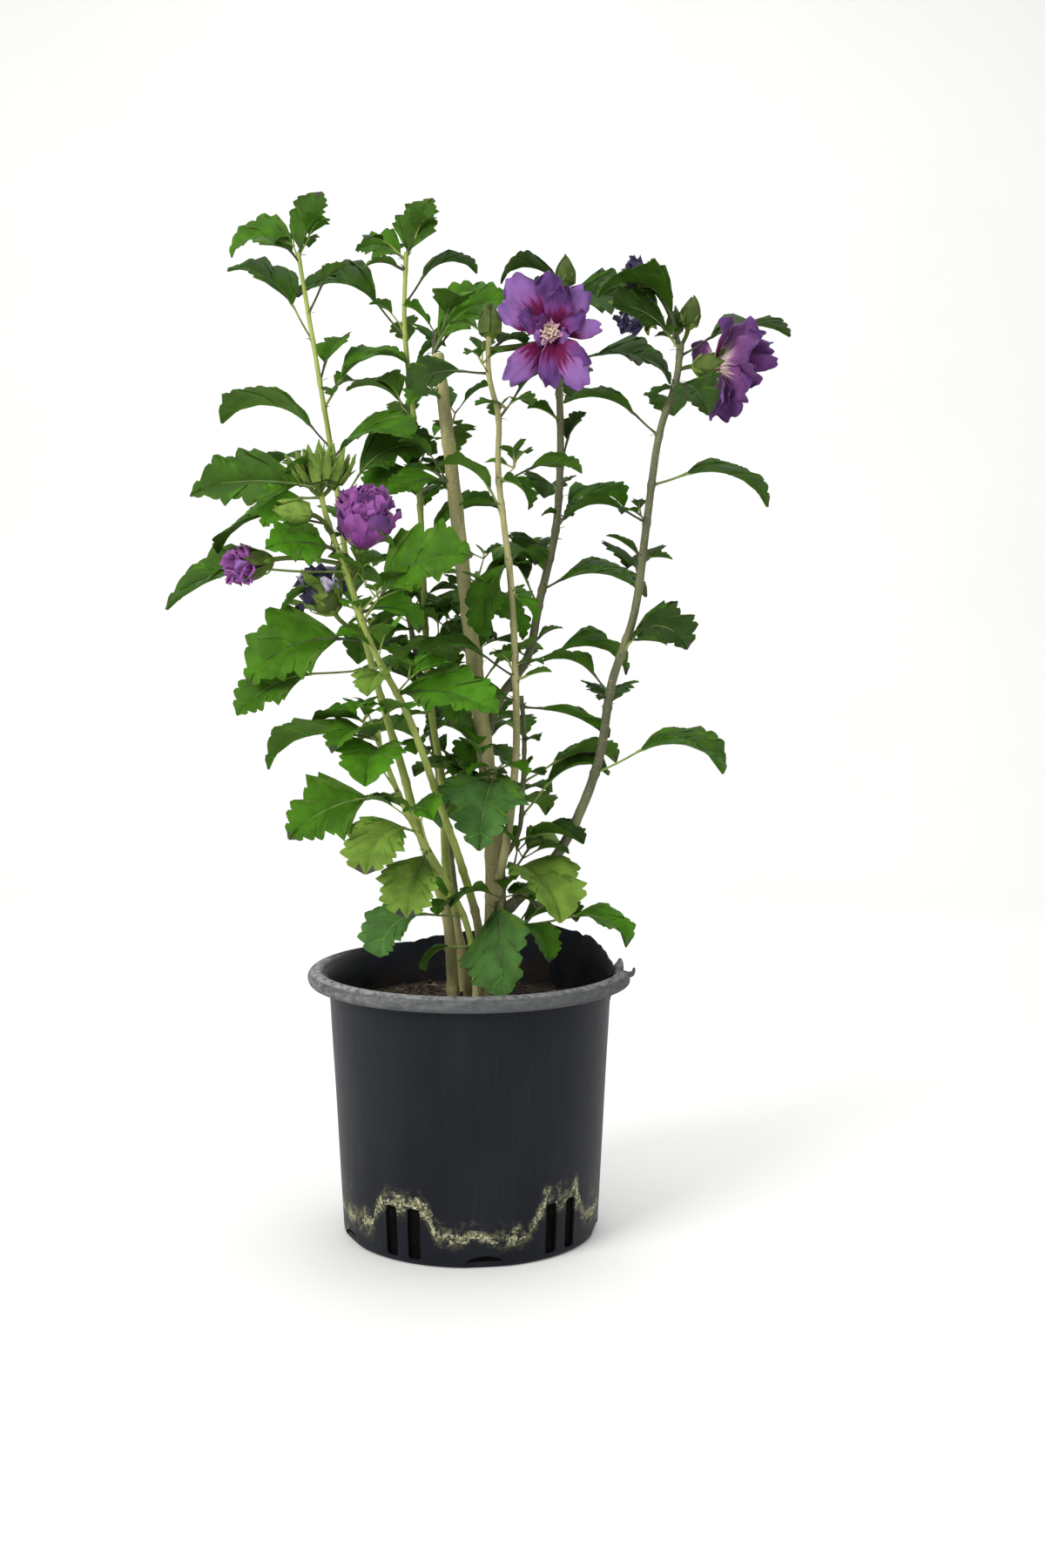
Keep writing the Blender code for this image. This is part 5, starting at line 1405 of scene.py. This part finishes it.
def add_bud(green, seat, axis, size, kind, rng):
    """A shut bud: its sepals hug a ribbed egg and part a little at their tips."""
    spiky = int(kind == "spiky")
    bract = 0.5 + 0.5 * spiky
    profile = ((0, 1.5), (0.08, 0.18), (0.18, 0.26), (0.32, 0.30), (0.50, 0.28),
               (0.66, 0.21), (0.80, 0.11), (0.90, 0.02))
    profile = [(size * v, r if r > 1 else size * r) for v, r in profile]
    add_body(green, seat, axis, profile, 0.08, int(kind == "pale"))
    add_sepals(green, seat + axis * 0.14 * size * MM, axis, 0.255 * size, 14 + 8 * spiky,
               -54 + 24 * spiky, (0.94 + 0.10 * spiky) * size, (0.20 - 0.03 * spiky) * size,
               int(kind != "bud"), rng)
    add_bracts(green, seat, axis, bract * size, 8 + 3 * spiky, 62 - 26 * bract, rng)


def add_calyx(green, seat, axis, size, lean, bend, rng, slim=0.27, outer=0):
    """A cup of five pointed sepals."""
    add_body(green, seat, axis, ((0, 1.5), (0.10 * size, 0.24 * size), (0.25 * size, 0.33 * size),
                                 (0.45 * size, 0.36 * size), (0.60 * size, 0.30 * size)), 0.05)
    add_sepals(green, seat + axis * 0.34 * size * MM, axis, 0.33 * size, lean, bend,
               0.80 * size, slim * size, outer, rng)
    add_bracts(green, seat, axis, 0.55 * size, 8, 60, rng)


def add_petals(colour, centre, axis, rows, rng, columns=14, cups=(-0.25, 0.15), back=BACK):
    """A flower's petals from rows such as those of OPEN_PETALS."""
    for angle, lean, bend, length, half, ruffle, tint, roll in rows:
        petal = ring_sheet(centre, axis, angle, 1.2, lean, bend, length, half, petal_outline,
                           (columns, columns + 4, rng.uniform(*cups), ruffle, 0.45, rng.random()),
                           roll + rng.uniform(-6, 6))
        for face in petal.faces:
            is_back = face.material_index and tint in (LILAC, LILAC_IN_SHADE)
            face.material_index = back if is_back else tint
        pour(petal, colour)


def add_heart(hearts, centre, axis, rng, size=HEART_SIZE):
    """The middle of a double flower: petal-like stamens among anthers."""
    for k in range(PETALOIDS):
        small = ring_sheet(centre, axis, GOLDEN_ANGLE * k, 0.10 * size * (k / PETALOIDS),
                           12 + 1.9 * k, rng.uniform(-60, 70), size * rng.uniform(0.55, 1.0),
                           size * rng.uniform(0.12, 0.20), petal_outline,
                           (4, 7, 0.4, 1.8, 0.35, rng.random()), rng.uniform(-50, 50))
        pour(small, hearts, rng.choice((0, 1, 1)))
    right, above = ways_round(axis)
    for k in range(ANTHERS):
        a = 2.4 * k
        out = (right * math.cos(a) + above * math.sin(a)) * rng.uniform(0.05, 0.5)
        spot = centre + (axis * rng.uniform(0.35, 1.0) + out) * size * MM
        anther = bmesh.new()
        bmesh.ops.create_icosphere(anther, subdivisions=1, radius=rng.uniform(0.5, 0.9) * MM)
        bmesh.ops.translate(anther, vec=spot, verts=anther.verts)
        pour(anther, hearts)


def tight_rows(rings, tints, rng):
    """Petal rows for closed or ruffled flowers, from rings such as those of POMPON_RINGS."""
    rows = []
    for number, (count, lean, bend, length, half, ruffle) in enumerate(rings):
        for k in range(count):
            rows.append((360 * (k + 0.5 * (number % 2)) / count + rng.uniform(-9, 9),
                         lean + rng.uniform(-6, 6), bend + rng.uniform(-12, 12),
                         length * rng.uniform(0.88, 1.08), half, ruffle, rng.choice(tints),
                         rng.uniform(-14, 14)))
    return rows


def flower(line, row, green, colour, hearts):
    """One bud or flower on its stalk, from its row."""
    height, azimuth, rise, stalk, face_way, face_rise, kind, size = row
    rng = random.Random("%s %d %d" % (kind, height, azimuth))
    start = point_at(line, height * MM)[0]
    axis = heading(face_way, face_rise)
    seat = start + heading(azimuth, rise) * stalk * MM
    bow = seat - axis * 0.35 * stalk * MM
    spots = [start.lerp(bow, t / 8).lerp(bow.lerp(seat, t / 8), t / 8) for t in range(9)]
    spots.append(seat + axis * 1.2 * MM)
    thick = 1.75 if kind == "open" else 1.15
    stem = limb(spots, [thick * (1 + 0.3 * math.exp(-k) + 0.04 * k) * MM for k in range(10)], 10)
    pour(stem, green)
    if kind in ("bud", "pale", "spiky"):
        add_bud(green, seat, axis, size, kind, rng)
        return
    big = OPEN_CALYX if kind in ("open", "double") else SHUT_CALYX
    if kind == "opening":
        add_calyx(green, seat, axis, 0.52 * size, 30, -8, rng)
        rings = ((7, 46, -40, 0.50 * size, 7.0, 0.9), (8, 34, -34, 0.62 * size, 7.0, 1.1),
                 (7, 18, -10, 0.70 * size, 6.5, 1.3), (4, 48, 20, 0.46 * size, 5.0, 1.2))
        add_petals(colour, seat + axis * 0.22 * size * MM, axis,
                   tight_rows(rings, (MAGENTA, LILAC, MAGENTA), rng), rng, 8, back=LILAC)
        return
    mouth = seat + axis * 0.8 * big * MM
    if kind == "open":
        add_calyx(green, seat, axis, big, 20, 10, rng)
        add_petals(colour, mouth, axis, OPEN_PETALS, rng)
        add_heart(hearts, mouth + axis * 3 * MM, axis, rng)
    elif kind == "double":
        add_calyx(green, seat, axis, 1.18 * big, 12, 4, rng)
        add_petals(colour, mouth, axis, DOUBLE_PETALS, rng)
        add_heart(hearts, mouth + axis * 2 * MM, axis, rng)
    elif kind == "pompon":
        add_calyx(green, seat, axis, big, 30, 0, rng)
        for at, ring in POMPON_RINGS:
            rows = tight_rows((ring,), (MAGENTA, MAGENTA, MAGENTA, LILAC_IN_SHADE), rng)
            add_petals(colour, mouth + axis * at * MM, axis, rows, rng, 8, (-0.1, 0.5))
    else:
        add_calyx(green, seat, axis, 1.47 * size, 36, 10, rng, 0.19, 1)
        rings = ((7, 44, -70, 1.45 * size, 0.36 * size, 2.6),
                 (7, 26, -40, 1.55 * size, 0.32 * size, 2.8),
                 (6, 50, 20, 1.10 * size, 0.30 * size, 2.6))
        add_petals(colour, mouth - axis * 2 * MM, axis,
                   tight_rows(rings, (SLATE, SLATE, SLATE, FADED), rng), rng, 8)


for name, rows in BLOOMS.items():
    title = name.replace("shoot_", "")
    green = bmesh.new()
    colour = bmesh.new()
    hearts = bmesh.new()
    for row in rows:
        flower(lines[name], row, green, colour, hearts)
    piece("buds_" + title, green, [calyx_green, bract_green], "green_bark")
    for shape, start, finishes in ((colour, "petals_", petal_mats),
                                   (hearts, "hearts_", [cream, blush])):
        if shape.faces:
            piece(start + title, shape, finishes, "hibiscus_leaf")
        else:
            shape.free()

# ==== floor, light and camera ======================================================
# A plain pale sheet that curves up behind the plant, lit softly from the left and from
# above, with a weaker light from the right.  None of it is part of the plant.
FLOOR_HALF = 3.0
BACK_START = 1.4
BEND_RADIUS = 0.8
WALL_HEIGHT = 3.0
BEND_STEPS = 16
sweep_shape = bmesh.new()
section = [(-FLOOR_HALF, 0.0)]
for k in range(BEND_STEPS + 1):
    turn = math.radians(90) * k / BEND_STEPS
    section.append((BACK_START + BEND_RADIUS * math.sin(turn),
                    BEND_RADIUS * (1 - math.cos(turn))))
section.append((BACK_START + BEND_RADIUS, BEND_RADIUS + WALL_HEIGHT))
side = [sweep_shape.verts.new((FLOOR_HALF, y, z)) for y, z in section]
edges = [sweep_shape.edges.new(pair) for pair in zip(side, side[1:])]
other_side = grown_points(sweep_shape, bmesh.ops.extrude_edge_only, edges=edges)[0]
bmesh.ops.translate(sweep_shape, vec=(-2 * FLOOR_HALF, 0, 0), verts=other_side)
bmesh.ops.recalc_face_normals(sweep_shape, faces=sweep_shape.faces)
for face in sweep_shape.faces:
    face.smooth = True
mesh = bpy.data.meshes.new("pale_sweep")
sweep_shape.to_mesh(mesh)
sweep_shape.free()
mesh.materials.append(finish("pale_sweep", (0.90, 0.90, 0.895), (0.88, 0.88, 0.875), 2.0,
                             (0.85, 0.9), 0.0001))
sweep = bpy.data.objects.new("pale_sweep", mesh)
bpy.context.scene.collection.objects.link(sweep)


def soft_light(name, place, aim, size, watts, colour):
    """A square area light at a place, turned to what it lights."""
    lamp = bpy.data.lights.new(name, "AREA")
    lamp.size = size
    lamp.energy = watts
    lamp.color = colour
    light = bpy.data.objects.new(name, lamp)
    light.location = place
    way = Vector(aim) - Vector(place)
    light.rotation_euler = way.to_track_quat("-Z", "Y").to_euler()
    bpy.context.scene.collection.objects.link(light)


soft_light("key", (-1.5, -1.5, 1.4), (0, 0, 0.35), 1.2, 44, (1.0, 0.985, 0.95))
soft_light("fill", (1.7, -1.2, 0.9), (0, 0, 0.35), 1.6, 9, (1.0, 1.0, 1.0))
soft_light("top", (0.2, 0.5, 2.4), (0, 0, 0.3), 1.6, 24, (1.0, 1.0, 1.0))
world = bpy.data.worlds.new("soft_room")
world.use_nodes = True
world.node_tree.nodes["Background"].inputs["Color"].default_value = (1.0, 0.995, 0.98, 1.0)
world.node_tree.nodes["Background"].inputs["Strength"].default_value = 0.61
bpy.context.scene.world = world

CAMERA_PLACE = (0.0338, -1.117, 0.3851)
LOOKING_DOWN = 4.859      # degrees under the level
lens = bpy.data.cameras.new("camera")
lens.lens = 40.0
lens.sensor_width = 36.0
camera = bpy.data.objects.new("camera", lens)
camera.location = CAMERA_PLACE
camera.rotation_euler = (math.radians(90 - LOOKING_DOWN), 0, 0)
bpy.context.scene.collection.objects.link(camera)
bpy.context.scene.camera = camera
bpy.context.scene.view_settings.view_transform = "Standard"
